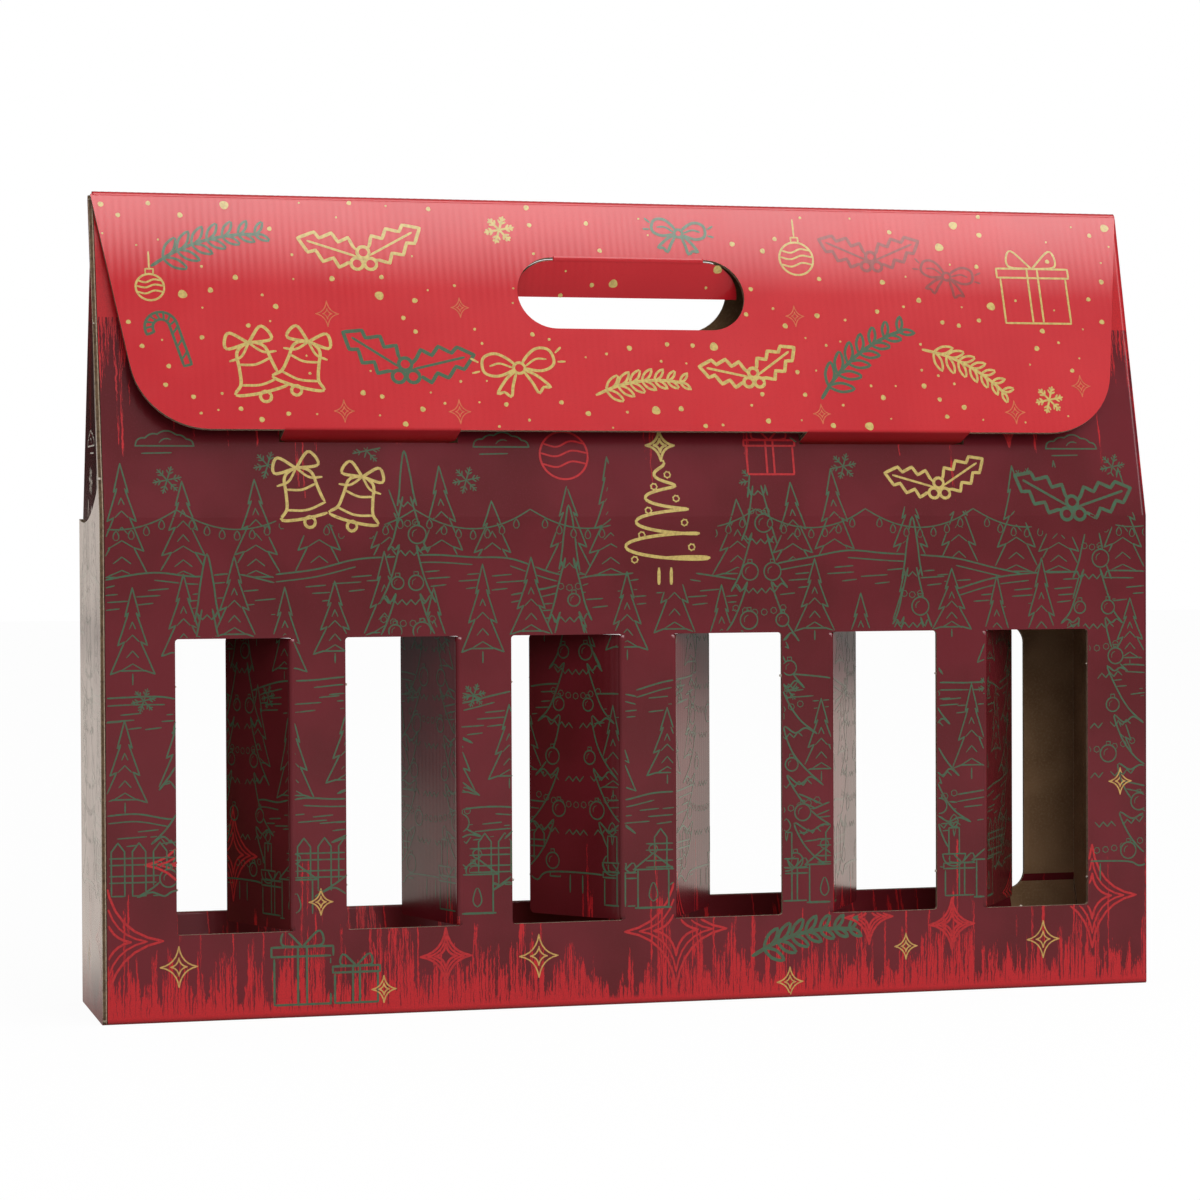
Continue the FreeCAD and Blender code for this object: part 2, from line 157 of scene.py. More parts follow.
def turned(points, centre, axis, angle):
    """Points turned about a line through centre along axis, by Rodrigues' formula."""
    axis = unit(*axis)
    arm = points - centre
    dot = arm @ axis
    return (centre + arm * math.cos(angle) + np.cross(axis, arm) * math.sin(angle)
            + np.outer(dot, axis) * (1 - math.cos(angle)))


def swung(direction, body, angle):
    """A direction turned about a body's hinge axis."""
    return turned(np.array([direction], float), np.zeros(3), JOINTS[body]["axis"], angle)[0]


def folded_sheet(body, flat_sheet):
    """A flap: the sheet that it was cut from, turned about the flap's crease."""
    def sheet(points, lift=LIFT):
        """Flat sheet turned by the angle at rest."""
        return turned(flat_sheet(points, lift), hinge_place(body), JOINTS[body]["axis"], folded(body))
    return sheet


# --- Mesh helpers ---

def mesh_piece(name, vertices, faces, body, material, smooth=True):
    """Object from arrays in millimetres, riding on a body unless that is None."""
    mesh = bpy.data.meshes.new(name)
    mesh.from_pydata(np.asarray(vertices, float) / 1000.0, [], np.asarray(faces).tolist())
    mesh.polygons.foreach_set("use_smooth", np.full(len(mesh.polygons), smooth))
    mesh.materials.append(material)
    mesh.update()
    piece = bpy.data.objects.new(name, mesh)
    bpy.context.scene.collection.objects.link(piece)
    if body:
        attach(piece, body)
    return piece


def grid_faces(rows, columns, start=0):
    """Quads of a grid: (r, c), (r, c+1), (r+1, c+1), (r+1, c)."""
    corner = (np.arange(rows - 1)[:, None] * columns + np.arange(columns - 1)).ravel() + start
    return np.stack([corner, corner + 1, corner + columns + 1, corner + columns], 1)


def smooth_line(points, step=1.2, closed=False):
    """Catmull-Rom curve through the points, resampled at about even steps."""
    points = np.asarray(points, float)
    if closed:
        points = np.vstack([points, points[:1]])
        before, after = points[-2], points[1]
    else:
        before, after = 2 * points[0] - points[1], 2 * points[-1] - points[-2]
    ring = np.vstack([before, points, after])
    t = np.linspace(0, 1, 9)[:-1, None, None]
    p0, p1, p2, p3 = ring[:-3], ring[1:-2], ring[2:-1], ring[3:]
    curve = 0.5 * (2 * p1 + (p2 - p0) * t + (2 * p0 - 5 * p1 + 4 * p2 - p3) * t ** 2
                   + (3 * p1 - p0 - 3 * p2 + p3) * t ** 3)
    curve = np.vstack([curve.transpose(1, 0, 2).reshape(-1, 2), points[-1:]])
    return even(curve, step)


def run_lengths(points):
    """Length of a line up to each of its points."""
    return np.r_[0, np.cumsum(np.linalg.norm(np.diff(points, axis=0), axis=1))]


def at_lengths(points, lengths, at):
    """Points of a line at given lengths along it."""
    return np.stack([np.interp(at, lengths, points[:, column]) for column in (0, 1)], 1)


def even(points, step=1.2):
    """The line through the points, resampled at about even steps."""
    lengths = run_lengths(points)
    count = max(int(lengths[-1] / step) + 1, 2)
    return at_lengths(points, lengths, np.linspace(0, lengths[-1], count))


def cornered(points, step=1.6):
    """Straight runs cut into even steps, with every corner kept."""
    lengths = run_lengths(points)
    at = np.unique(np.r_[lengths, np.arange(0, lengths[-1], step)])
    at = at[np.r_[True, np.diff(at) > 0.05] | np.isin(at, lengths)]
    return at_lengths(points, lengths, at)


def inside(points, ring):
    """True where a point is inside a closed ring, by the even count of crossings to its right."""
    x1, y1 = ring[:, 0], ring[:, 1]
    x2, y2 = np.roll(x1, -1), np.roll(y1, -1)
    px, py = points[:, 0, None], points[:, 1, None]
    spans = (y1 > py) != (y2 > py)
    crossing = x1 + (py - y1) * (x2 - x1) / np.where(y2 == y1, 1e-9, y2 - y1)
    return (spans & (px < crossing)).sum(1) % 2 == 1


def split(stroke, keep):
    """Runs of a stroke in which every point is kept."""
    width, points = stroke
    edges = np.flatnonzero(np.diff(np.r_[0, keep.astype(int), 0]))
    return [(width, points[a:b]) for a, b in zip(edges[::2], edges[1::2]) if b - a > 1]


class Print:
    """Flat line drawing in millimetres: strokes by ink, with later motifs hiding earlier ones."""

    def __init__(self, seed):
        self.random = np.random.default_rng(seed)
        self.strokes = {ink: [] for ink in INKS}

    def line(self, ink, points, width=1.0, smooth=True, closed=False):
        """One stroke through the points."""
        points = np.asarray(points, float)
        if smooth:
            run = smooth_line(points, closed=closed)
        else:
            run = cornered(np.vstack([points, points[:1]]) if closed else points)
        self.strokes[ink].append((width, run))

    def cover(self, ring):
        """Hide what is already drawn inside a ring."""
        for ink, strokes in self.strokes.items():
            kept = []
            for stroke in strokes:
                points = stroke[1]
                if (points.min(0) > ring.max(0)).any() or (points.max(0) < ring.min(0)).any():
                    kept.append(stroke)
                else:
                    kept.extend(split(stroke, ~inside(points, ring)))
            self.strokes[ink] = kept

    def shape(self, ink, points, width=1.0, smooth=True):
        """Closed stroke that hides what is behind it."""
        points = np.asarray(points, float)
        ring = smooth_line(points, closed=True) if smooth else np.vstack([points, points[:1]])
        self.cover(ring)
        self.line(ink, points, width, smooth, True)

    def clipped(self, keep):
        """Strokes of each ink cut down to where keep(points) is true."""
        return {ink: [run for stroke in strokes for run in split(stroke, keep(stroke[1]))]
                for ink, strokes in self.strokes.items()}


def crisp(strokes, scale):
    """Strokes cut at their sharp corners; each run goes a third of its width past the corner."""
    runs = []
    for width, points in strokes:
        width *= scale
        step = np.diff(points, axis=0)
        step /= np.maximum(np.linalg.norm(step, axis=1, keepdims=True), 1e-9)
        sharp = np.flatnonzero((step[:-1] * step[1:]).sum(1) < 0.75) + 1
        edges = np.r_[0, sharp, len(points) - 1]
        for first, last in zip(edges[:-1], edges[1:]):
            run = points[first:last + 1].copy()
            run[0] -= step[first] * width * 0.35
            run[-1] += step[last - 1] * width * 0.35
            runs.append((width, run))
    return runs


def ribbons(name, strokes, sheet, body, material):
    """Flat ribbons of ink: each stroke's points moved half a width to both sides of its tangent.

    Each run lies a little higher than the one before, and climbs along its length, so no two
    ribbons share a plane.
    """
    scale = bpy.context.scene.carrier_print.line_scale
    vertices, faces, lifts, start = [], [], [], 0
    for index, (width, points) in enumerate(crisp(strokes, scale)):
        tangent = np.gradient(points, axis=0)
        tangent /= np.maximum(np.linalg.norm(tangent, axis=1, keepdims=True), 1e-9)
        across = np.stack([tangent[:, 1], -tangent[:, 0]], 1)
        taper = np.ones(len(points))
        taper[[0, -1]] = 0.6
        half = 0.5 * width * taper[:, None] * across
        vertices.append(np.stack([points - half, points + half], 1).reshape(-1, 2))
        faces.append(grid_faces(len(points), 2, start))
        lifts.append(LIFT + 0.004 * (index % 10) + 0.0005 * np.repeat(np.arange(len(points)) % 60, 2))
        start += 2 * len(points)
    flat = np.vstack(vertices)
    return mesh_piece(name, sheet(flat, np.concatenate(lifts)), outward(flat, np.vstack(faces), sheet),
                      body, material, False)


def outward(flat, faces, sheet):
    """Faces of a sheet, turned round if they face into the board."""
    corners = flat[faces[0]]
    places, raised = sheet(corners), sheet(corners, LIFT + 1.0)
    normal = np.cross(places[1] - places[0], places[-1] - places[0])
    return faces if float(normal @ (raised[0] - places[0])) > 0 else faces[:, ::-1]


def discs(name, spots, sheet, body, material):
    """Filled round dots: rings at radius r (0, 1) round each centre, with a slightly uneven rim."""
    turns = np.linspace(0, 2 * math.pi, 15)[:-1]
    vertices, faces, start = [], [], 0
    for x, y, radius in spots:
        rim = radius * (1 + 0.06 * np.sin(3 * turns + x) + 0.04 * np.cos(2 * turns + y))
        ring = np.stack([x + rim * np.cos(turns), y + rim * np.sin(turns)], 1)
        vertices.append(np.vstack([[x, y], ring]))
        index = np.arange(14)
        faces.append(np.stack([np.full(14, start), start + 1 + index, start + 1 + (index + 1) % 14], 1))
        start += 15
    flat = np.vstack(vertices)
    return mesh_piece(name, sheet(flat), outward(flat, np.vstack(faces), sheet), body, material)


# --- Motifs, all generic: firs, hills, baubles, parcels, lanterns, snow and stars ---

def arc(x, y, radius, start=0.0, finish=360.0, count=14):
    """Points on a circle between two angles in degrees."""
    turns = np.radians(np.linspace(start, finish, count))
    return np.stack([x + radius * np.cos(turns), y + radius * np.sin(turns)], 1)


def placer(x, y, size, turn):
    """Function that scales and turns a motif's points and moves them to its place."""
    c, s = math.cos(math.radians(turn)), math.sin(math.radians(turn))
    return lambda points: np.asarray(points, float) @ np.array([[c, s], [-s, c]]) * size + (x, y)


def heading(angle):
    """Direction at an angle in radians, and the one square to it."""
    ray = np.array([math.cos(angle), math.sin(angle)])
    return ray, np.array([-ray[1], ray[0]])


def box_ring(x, y, half, height):
    """Corners of an upright box that stands on y."""
    return [(x - half, y), (x + half, y), (x + half, y + height), (x - half, y + height)]


def draw_fir(art, x, foot, height, width):
    """Fir of drooping tiers, hung with bead strings and baubles.

    Half width grows linearly downwards, each tier's tip hangs below its root, and a sawtooth row of
    needles follows the tier's hem.
    """
    tiers = max(4, int(height / 22))
    step = height / tiers
    left, right = [], []
    for index in range(tiers):
        low = foot + height - (index + 1) * step
        reach = width / 2 * (index + 1) / tiers * art.random.uniform(0.92, 1.08)
        for side, out in ((left, -1), (right, 1)):
            hang = step * art.random.uniform(0.1, 0.24)
            side.extend((x + out * reach * share, low + rise) for share, rise in
                        ((0.5, step * 0.5), (0.72, step * 0.12), (1.0, -hang), (0.8, -hang * 0.2),
                         (0.62, -hang * 0.9), (0.42, 0.0)))
    ring = np.array([(x, foot + height)] + right + left[::-1])
    for out in (-1, 1):
        trunk = x + out * width * 0.05
        art.line("green", [(trunk, foot - 9), (trunk, foot + 4)], 1.0, False)
    art.cover(ring)
    art.line("green", ring, 1.05, closed=True)
    for index in range(1, tiers):
        level = foot + height - index * step
        half = width / 2 * index / tiers * 0.8
        xs = np.arange(-half, half + 2.1, 2.1)
        hem = level - 1.8 - 0.1 * half * (1 - (xs / max(half, 1)) ** 2)
        saw = hem + np.where(np.arange(len(xs)) % 2, -2.3, 0)
        for part in np.array_split(np.stack([x + xs, saw], 1), max(1, len(xs) // 7)):
            if len(part) > 3:
                art.line("green", part[:-1], 0.8, False)
    for index in range(1, tiers, 2):
        level = foot + height - (index + 0.5) * step
        half = width / 2 * (index + 0.4) / tiers * 0.86
        count = max(3, int(2 * half / 4.3))
        for share in (np.arange(count) + 0.5) / count:
            bead = arc(x - half + 2 * half * share, level - 0.2 * half * math.sin(math.pi * share), 1.5, count=8)
            art.line("green", bead, 0.75, closed=True)
    for index in range(1, tiers):
        level = foot + height - (index + 0.78) * step
        half = width / 2 * (index + 0.2) / tiers
        for side in (-1, 1) if index > 1 else (1,):
            at = x + side * half * art.random.uniform(0.3, 0.8)
            radius = art.random.uniform(2.8, 4.4)
            art.shape("green", arc(at, level, radius)[:-1], 0.9)
            art.line("green", arc(at, level, radius * 0.55, 100, 200, 6), 0.6)
            art.line("green", [(at - 1, level + radius), (at - 1, level + radius + 1.6),
                               (at + 1, level + radius + 1.6), (at + 1, level + radius)], 0.7, False)


def draw_bare_fir(art, x, foot, height, width):
    """Small far fir: a zigzag outline, rows of short needles in each tier and one trunk line."""
    tiers = max(3, int(height / 11))
    left, right = [], []
    for index in range(tiers):
        low = foot + height * (1 - (index + 1) / tiers)
        reach = width / 2 * (index + 1) / tiers
        for side, out in ((left, -1), (right, 1)):
            side.append((x + out * reach, low))
            side.append((x + out * reach * 0.55, low + height / tiers * 0.12))
    ring = np.array([(x, foot + height)] + right + left[::-1])
    art.cover(ring)
    art.line("green", ring, 0.9, smooth=False, closed=True)
    art.line("green", [(x, foot), (x, foot - height * 0.12)], 0.9, False)
    for index in range(1, tiers):
        for share, part in ((0.3, 0.4), (0.75, 0.62)):
            low = foot + height * (1 - (index + share) / tiers)
            reach = width / 2 * (index + share - 0.3) / tiers * part
            art.line("green", [(x - reach, low - 1.6), (x, low + 1.4), (x + reach, low - 1.6)], 0.7, False)


def draw_hill(art, start, finish, level, rise):
    """Snow hill: one long rounded ridge, a broken second line and short hatching under it."""
    xs = np.linspace(start, finish, 9)
    bump = np.sin(np.linspace(0.1, 0.95, 9) * math.pi)
    line = np.stack([xs, level + rise * bump + art.random.uniform(-1.5, 1.5, 9)], 1)
    art.cover(np.vstack([smooth_line(line), [(finish, level - 30), (start, level - 30)]]))
    art.line("green", line, 1.0)
    for part in (slice(0, 3), slice(3, 6), slice(6, 9)):
        art.line("green", line[part] - (0, 3.4), 0.8)
    for x, y in line[1:-1]:
        for drop, reach in ((8.0, 9.0), (11.0, 13.0), (14.5, 7.0)):
            at = x + art.random.uniform(-7, 7)
            art.line("green", [(at - reach / 2, y - drop), (at + reach / 2, y - drop + 0.7)], 0.8)


def draw_lights(art, start, finish, level, sag):
    """String of lights: a chain of hanging bows, y = level - 4 sag t (1 - t), with a drop on each bow."""
    count = max(1, int((finish - start) / 52))
    span = (finish - start) / count
    t = np.linspace(0, 1, 9)
    for index in range(count):
        xs = start + (index + t) * span
        bow = np.stack([xs, level - 4 * sag * t * (1 - t)], 1)
        art.line("green", bow, 0.8)
        for x, y in bow[1:-1]:
            art.shape("green", [(x, y - 0.6), (x - 1.4, y - 3.4), (x, y - 5.0), (x + 1.4, y - 3.4)], 0.75)


def draw_cloud(art, x, y, size):
    """Cloud: the upper envelope of a row of circles on a flat foot, with a short arc inside."""
    centres = np.array([-0.95, -0.4, 0.2, 0.75, 1.2]) * size
    sizes = np.array([0.36, 0.55, 0.68, 0.5, 0.3]) * size
    xs = np.linspace(centres[0] - sizes[0], centres[-1] + sizes[-1], 40)
    top = np.sqrt(np.maximum(sizes ** 2 - (xs[:, None] - centres) ** 2, 0)).max(1)
    art.shape("green", np.stack([x + xs, y + 1.1 * top], 1), 0.9, False)
    art.line("green", arc(x + 0.2 * size, y - 0.3, size * 0.4, 150, 60, 6), 0.75)
    art.line("green", [(x - size, y - 3.5), (x + size * 0.4, y - 3.2)], 0.8)


def draw_cane(art, ink, x, y, size, turn, width=1.2):
    """Striped cane: two parallel lines up a straight run and round a half circle, and slanting bars."""
    bend = np.radians(np.linspace(0, 195, 16))
    path = np.vstack([[(0.22, v) for v in np.linspace(-0.55, 0.2, 7)],
                      np.stack([0.22 * np.cos(bend), 0.25 + 0.22 * np.sin(bend)], 1)])
    tangent = np.gradient(path, axis=0)
    across = np.stack([-tangent[:, 1], tangent[:, 0]], 1) / np.linalg.norm(tangent, axis=1, keepdims=True)
    sides = [placer(x, y, size, turn)(path + reach * across) for reach in (0.07, -0.07)]
    art.shape(ink, np.vstack([sides[0], sides[1][::-1]]), width, False)
    for index in range(1, len(path) - 2, 2):
        art.line(ink, [sides[0][index], sides[1][index + 1]], width * 0.8, False)


def draw_bell(art, ink, x, y, size, turn=0.0, width=1.2):
    """Bell with a bow: its side is a bulge that flares out to the rim."""
    put = placer(x, y, size, turn)
    side = [(0.1, 0.5), (0.26, 0.38), (0.3, 0.1), (0.36, -0.2), (0.5, -0.38)]
    art.shape(ink, put(side + [(0.0, -0.44)] + [(-a, b) for a, b in side[::-1]]), width)
    art.line(ink, put([(-0.36, -0.22), (0, -0.29), (0.36, -0.22)]), width * 0.8)
    art.line(ink, put([(-0.28, 0.16), (0, 0.1), (0.28, 0.16)]), width * 0.8)
    art.line(ink, put(arc(0, -0.52, 0.1, count=9)), width, closed=True)
    for out in (-1, 1):
        art.line(ink, put([(0, 0.52), (out * 0.3, 0.78), (out * 0.42, 0.5), (0, 0.52)]), width)
        art.line(ink, put([(0, 0.52), (out * 0.2, 0.3), (out * 0.42, 0.26)]), width * 0.8)


def draw_candle(art, x, y, height):
    """Candle on a holder: wax, two drips and a flame."""
    half = height * 0.14
    art.shape("green", box_ring(x, y, half, height * 0.66), 0.9, False)
    art.line("green", arc(x, y, half * 2.2, 180, 360, 9), 0.9)
    art.line("green", [(x - half * 2.2, y), (x + half * 2.2, y)], 0.9, False)
    art.line("green", [(x, y + height * 0.68), (x - half * 0.8, y + height * 0.82), (x, y + height),
                       (x + half * 0.8, y + height * 0.82)], 0.8, closed=True)
    art.line("green", [(x - half * 0.2, y + height * 0.64), (x, y + height * 0.45),
                       (x + half * 0.3, y + height * 0.64)], 0.7)


def draw_parcel(art, ink, x, y, width, height):
    """Wrapped parcel: lid, two ribbons and a bow."""
    art.shape(ink, box_ring(x, y, width / 2, height), smooth=False)
    top = y + height
    art.shape(ink, box_ring(x, top, width * 0.55, height * 0.2), smooth=False)
    top += height * 0.2
    for side in (-1, 1):
        art.line(ink, [(x + side * width * 0.08, y), (x + side * width * 0.08, top)], smooth=False)
        art.line(ink, [(x, top), (x + side * width * 0.3, top + width * 0.28),
                       (x + side * width * 0.36, top + width * 0.04), (x, top)])


def draw_lantern(art, ink, x, y, height):
    """Lantern: cap, glass with a flame, and a foot."""
    half = height * 0.25
    art.shape(ink, box_ring(x, y, half, height * 0.6), smooth=False)
    art.line(ink, [(x - half * 1.3, y + height * 0.6), (x, y + height * 0.85),
                   (x + half * 1.3, y + height * 0.6)], smooth=False)
    art.line(ink, [(x - half * 1.3, y + height * 0.6), (x + half * 1.3, y + height * 0.6)], smooth=False)
    art.line(ink, arc(x, y + height * 0.92, height * 0.07, count=9), 0.8, closed=True)
    art.line(ink, [(x, y + 3), (x - height * 0.07, y + height * 0.2), (x, y + height * 0.4),
                   (x + height * 0.07, y + height * 0.2)], 0.8, closed=True)
    art.line(ink, [(x - half * 1.15, y), (x + half * 1.15, y)], 1.3, False)


def draw_bauble(art, ink, x, y, radius, string):
    """Hanging bauble: string, cap, ball and wavy bands."""
    art.line(ink, [(x, y + radius + 3), (x, y + radius + 3 + string)], 0.8, False)
    art.shape(ink, arc(x, y, radius, count=20)[:-1])
    art.line(ink, [(x - 1.8, y + radius), (x - 1.8, y + radius + 2.6), (x + 1.8, y + radius + 2.6),
                   (x + 1.8, y + radius)], 0.8, False)
    for level in (-0.35, 0.1, 0.5):
        half = radius * math.sqrt(1 - level ** 2) * 0.98
        art.line(ink, [(x - half, y + level * radius), (x - half / 3, y + (level - 0.14) * radius),
                       (x + half / 3, y + (level + 0.1) * radius), (x + half, y + level * radius)], 0.9)


def draw_fence(art, start, finish, y, height):
    """Picket fence: two rails and pointed boards."""
    for x in np.arange(start, finish, 9.5):
        art.shape("green", [(x, y), (x + 6, y), (x + 6, y + height), (x + 3, y + height + 4),
                            (x, y + height)], 0.9, False)
    for level in (0.3, 0.7):
        for rail in (y + height * level, y + height * level + 3):
            art.line("green", [(start - 4, rail), (finish + 2, rail)], 0.9, False)


def draw_snowflake(art, x, y, radius, ink, width=1.0):
    """Six arms, each with two pairs of side twigs."""
    for index in range(6):
        ray, side = heading(math.pi / 3 * index + 0.2)
        centre = np.array([x, y])
        art.line(ink, [centre, centre + ray * radius], width, False)
        for share, length in ((0.45, 0.3), (0.72, 0.22)):
            root = centre + ray * radius * share
            for sign in (-1, 1):
                art.line(ink, [root, root + (ray + sign * side) * radius * length * 0.75], width, False)


def four_point(x, y, half_width, half_height, waist=0.24):
    """Four-pointed star with hollow sides: straight tips joined by curves through the waist."""
    points = []
    for index in range(4):
        tip = (half_width, 0.0), (0.0, half_height), (-half_width, 0.0), (0.0, -half_height)
        a, b = np.array(tip[index]), np.array(tip[(index + 1) % 4])
        middle = (a + b) * waist
        for t in np.linspace(0, 1, 7)[:-1]:
            points.append((1 - t) ** 2 * a + 2 * t * (1 - t) * middle * 0.55 + t ** 2 * b)
    return np.array(points) + (x, y)


def draw_star(art, ink, x, y, radius, width=0.8):
    """Double outline of a four-pointed star."""
    art.line(ink, four_point(x, y, radius * 0.92, radius), width, False, True)
    art.line(ink, four_point(x, y, radius * 0.4, radius * 0.44), width, False, True)


def draw_holly(art, ink, x, y, size, turn, width=1.2):
    """Two spiked leaves and three berries."""
    for side in (-1, 1):
        ray, normal = heading(math.radians(turn) + side * 1.15 + math.pi / 2)
        root = np.array([x, y])
        outline = [root]
        for sign in (1, -1):
            row = []
            for share, reach in ((0.2, 0.14), (0.3, 0.25), (0.42, 0.13), (0.55, 0.24),
                                 (0.7, 0.1), (0.8, 0.17)):
                row.append(root + ray * size * share + sign * normal * size * reach)
            outline += row + [root + ray * size] if sign == 1 else row[::-1]
        art.shape(ink, outline, width, False)
        art.line(ink, [root + ray * size * 0.12, root + ray * size * 0.85], width * 0.7, False)
    for dx, dy in ((-0.1, -0.08), (0.1, -0.08), (0.0, 0.1)):
        art.shape(ink, arc(x + dx * size, y + dy * size, size * 0.09, count=10)[:-1], width)


def draw_sprig(art, ink, x, y, size, turn, width=1.3):
    """Curved twig with pairs of long leaves, each a closed almond."""
    ray, normal = heading(math.radians(turn))
    centre = np.array([x, y])

    def spine(t):
        """Parabola along the sprig: straight run plus a square-law bend."""
        return centre + ray * size * (t - 0.5) + normal * size * 0.35 * (0.25 - (t - 0.5) ** 2)
    art.line(ink, [spine(t) for t in np.linspace(0, 1, 7)], width)
    for t in np.linspace(0.12, 0.95, 7):
        root = spine(t)
        for sign in (-1, 1):
            way = unit(*(ray * 0.8 + sign * normal * 0.75))
            side = np.array([-way[1], way[0]])
            length = size * 0.2 * (1.15 - 0.5 * t)
            art.line(ink, [root, root + way * length * 0.5 + side * length * 0.18, root + way * length,
                           root + way * length * 0.5 - side * length * 0.18], width * 0.8, closed=True)


def draw_bow(art, ink, x, y, size, turn, width=1.6):
    """Ribbon bow: two rounded loops, a knot and two tails with notched ends."""
    put = placer(x, y, size, turn)
    for out in (-1, 1):
        art.line(ink, put([(out * 0.05, -0.05), (out * 0.14, -0.24), (out * 0.2, -0.4), (out * 0.28, -0.32),
                           (out * 0.38, -0.33), (out * 0.22, -0.14), (out * 0.07, -0.04)]), width)
        art.shape(ink, put([(out * 0.05, 0.03), (out * 0.26, 0.24), (out * 0.47, 0.21), (out * 0.5, 0.0),
                            (out * 0.3, -0.08)]), width)
        art.line(ink, put([(out * 0.1, 0.02), (out * 0.26, 0.1), (out * 0.4, 0.08)]), width * 0.7)
        art.line(ink, put([(out * 0.56, 0.16), (out * 0.64, 0.22)]), width * 0.8, False)
        art.line(ink, put([(out * 0.57, 0.02), (out * 0.66, 0.01)]), width * 0.8, False)
    art.shape(ink, put(arc(0, 0, 0.08, count=11)[:-1]), width)


def draw_ribbon_tree(art, ink, x, y, width, height, width_of_line):
    """Tree of one swinging ribbon, x = half width t sin(9 pi t), under a star, with beads in its bends."""
    t = np.linspace(0.05, 1, 64)
    swing = x + width / 2 * t * np.sin(9 * math.pi * t)
    drop = y + height * (1 - t) - 3.0 * t * np.cos(9 * math.pi * t)
    art.line(ink, np.stack([swing, drop], 1), width_of_line)
    for level in np.arange(1, 9):
        share = (level + 0.5) / 9
        side = 1 if level % 2 == 0 else -1
        art.line(ink, arc(x - side * width * 0.34 * share, y + height * (1 - share - 0.012), 1.5, count=8),
                 width_of_line * 0.7, closed=True)
    for side in (-1, 1):
        art.line(ink, [(x + side * 3, y - 2), (x + side * 3, y - 9)], width_of_line, False)
    draw_star(art, ink, x, y + height + 5, 7.5, width_of_line * 0.8)


def winter_print(seed, left, right, stars, ornaments=()):
    """Line drawing for one side of the box, from its bottom edge to the ridge."""
    art = Print(seed)
    span = right - left

    def row(pitch):
        """Even places across the side, about a pitch apart."""
        count = max(1, int(span / pitch))
        return left + (np.arange(count) + 0.5) * span / count

    def hills(pitch, start, finish, level, step, rise):
        """Row of hills, every second one a step higher."""
        for index in range(max(1, int(span / pitch)) + 1):
            draw_hill(art, left + start + index * pitch, left + finish + index * pitch,
                      level + step * (index % 2), rise)
    for index, x in enumerate(row(64)):
        draw_cloud(art, x + art.random.uniform(-8, 8), 262 + 13 * (index % 2), 9.5)
    for index, x in enumerate(row(43)):
        draw_snowflake(art, x + 8, 246 + 7 * (index % 3), 6.5, "green", 0.85)
    for x in row(28):
        draw_bare_fir(art, x + art.random.uniform(-6, 6), 200, art.random.uniform(36, 60), 26)
    hills(110, -30, 116, 188, 9, 15)
    for index, x in enumerate(row(23)):
        draw_bare_fir(art, x + 3, 158 + 8 * (index % 3), art.random.uniform(28, 44), 20)
    hills(100, -50, 76, 136, 7, 12)
    for index, x in enumerate(row(25)):
        draw_bare_fir(art, x - 2, 100 + 7 * (index % 3), art.random.uniform(30, 42), 20)
    for x in row(47):
        draw_snowflake(art, x - 6, 146, 5.5, "green", 0.9)
    hills(90, -40, 72, 84, 7, 10)
    for index, x in enumerate(row(78)):
        draw_fence(art, x - 38, x - 8, 58, 20)
        tall = (206, 168, 190, 152, 200, 174)[(index + seed) % 6]
        draw_fir(art, x + (14 if index % 2 else 6), 60, tall, tall * 0.42)
    for index, x in enumerate(row(78) + 39):
        if x > right - 12:
            continue
        draw_parcel(art, "green", x - 8, 46, 17, 13)
        draw_lantern(art, "green", x + 7, 45, 30)
        draw_candle(art, x - 12, 66, 19)
    if span > 200:
        draw_lights(art, left - 20, right + 20, 232, 9)
    art.strokes["green"] = [(0.78 * width, points) for width, points in art.strokes["green"]]
    for draw, x, y, half_width, half_height, *rest in ornaments:
        art.cover(arc(0, 0, 1, count=28) * (half_width, half_height) + (x, y))
        draw(art, rest[0], x + rest[1], y + rest[2], *rest[3:])
    for ink, x, y, radius in stars:
        if ink == "red":
            art.cover(four_point(x, y, radius * 0.4, radius * 0.44))
            art.line(ink, four_point(x, y, radius * 0.66, radius * 0.72), 0.9, False, True)
        draw_star(art, ink, x, y, radius, 1.1 if ink == "red" else 0.65)
    return art


# --- Materials ---

def maths(operation, swapped=False):
    """Method that adds a maths node; a swapped one takes its own value last."""
    def method(self, *other):
        """Maths node of this field and another value."""
        values = (self,) + other
        return self.web.math(operation, *(values[::-1] if swapped else values))
    return method


class Field:
    """Output of a node. Arithmetic with it adds maths nodes; > and < give 1 or 0."""
    __add__, __radd__ = maths("ADD"), maths("ADD", True)
    __sub__, __rsub__ = maths("SUBTRACT"), maths("SUBTRACT", True)
    __mul__, __truediv__, __abs__ = maths("MULTIPLY"), maths("DIVIDE"), maths("ABSOLUTE")
    __gt__, __lt__ = maths("GREATER_THAN"), maths("LESS_THAN")

    def __init__(self, web, socket):
        self.web, self.socket = web, socket


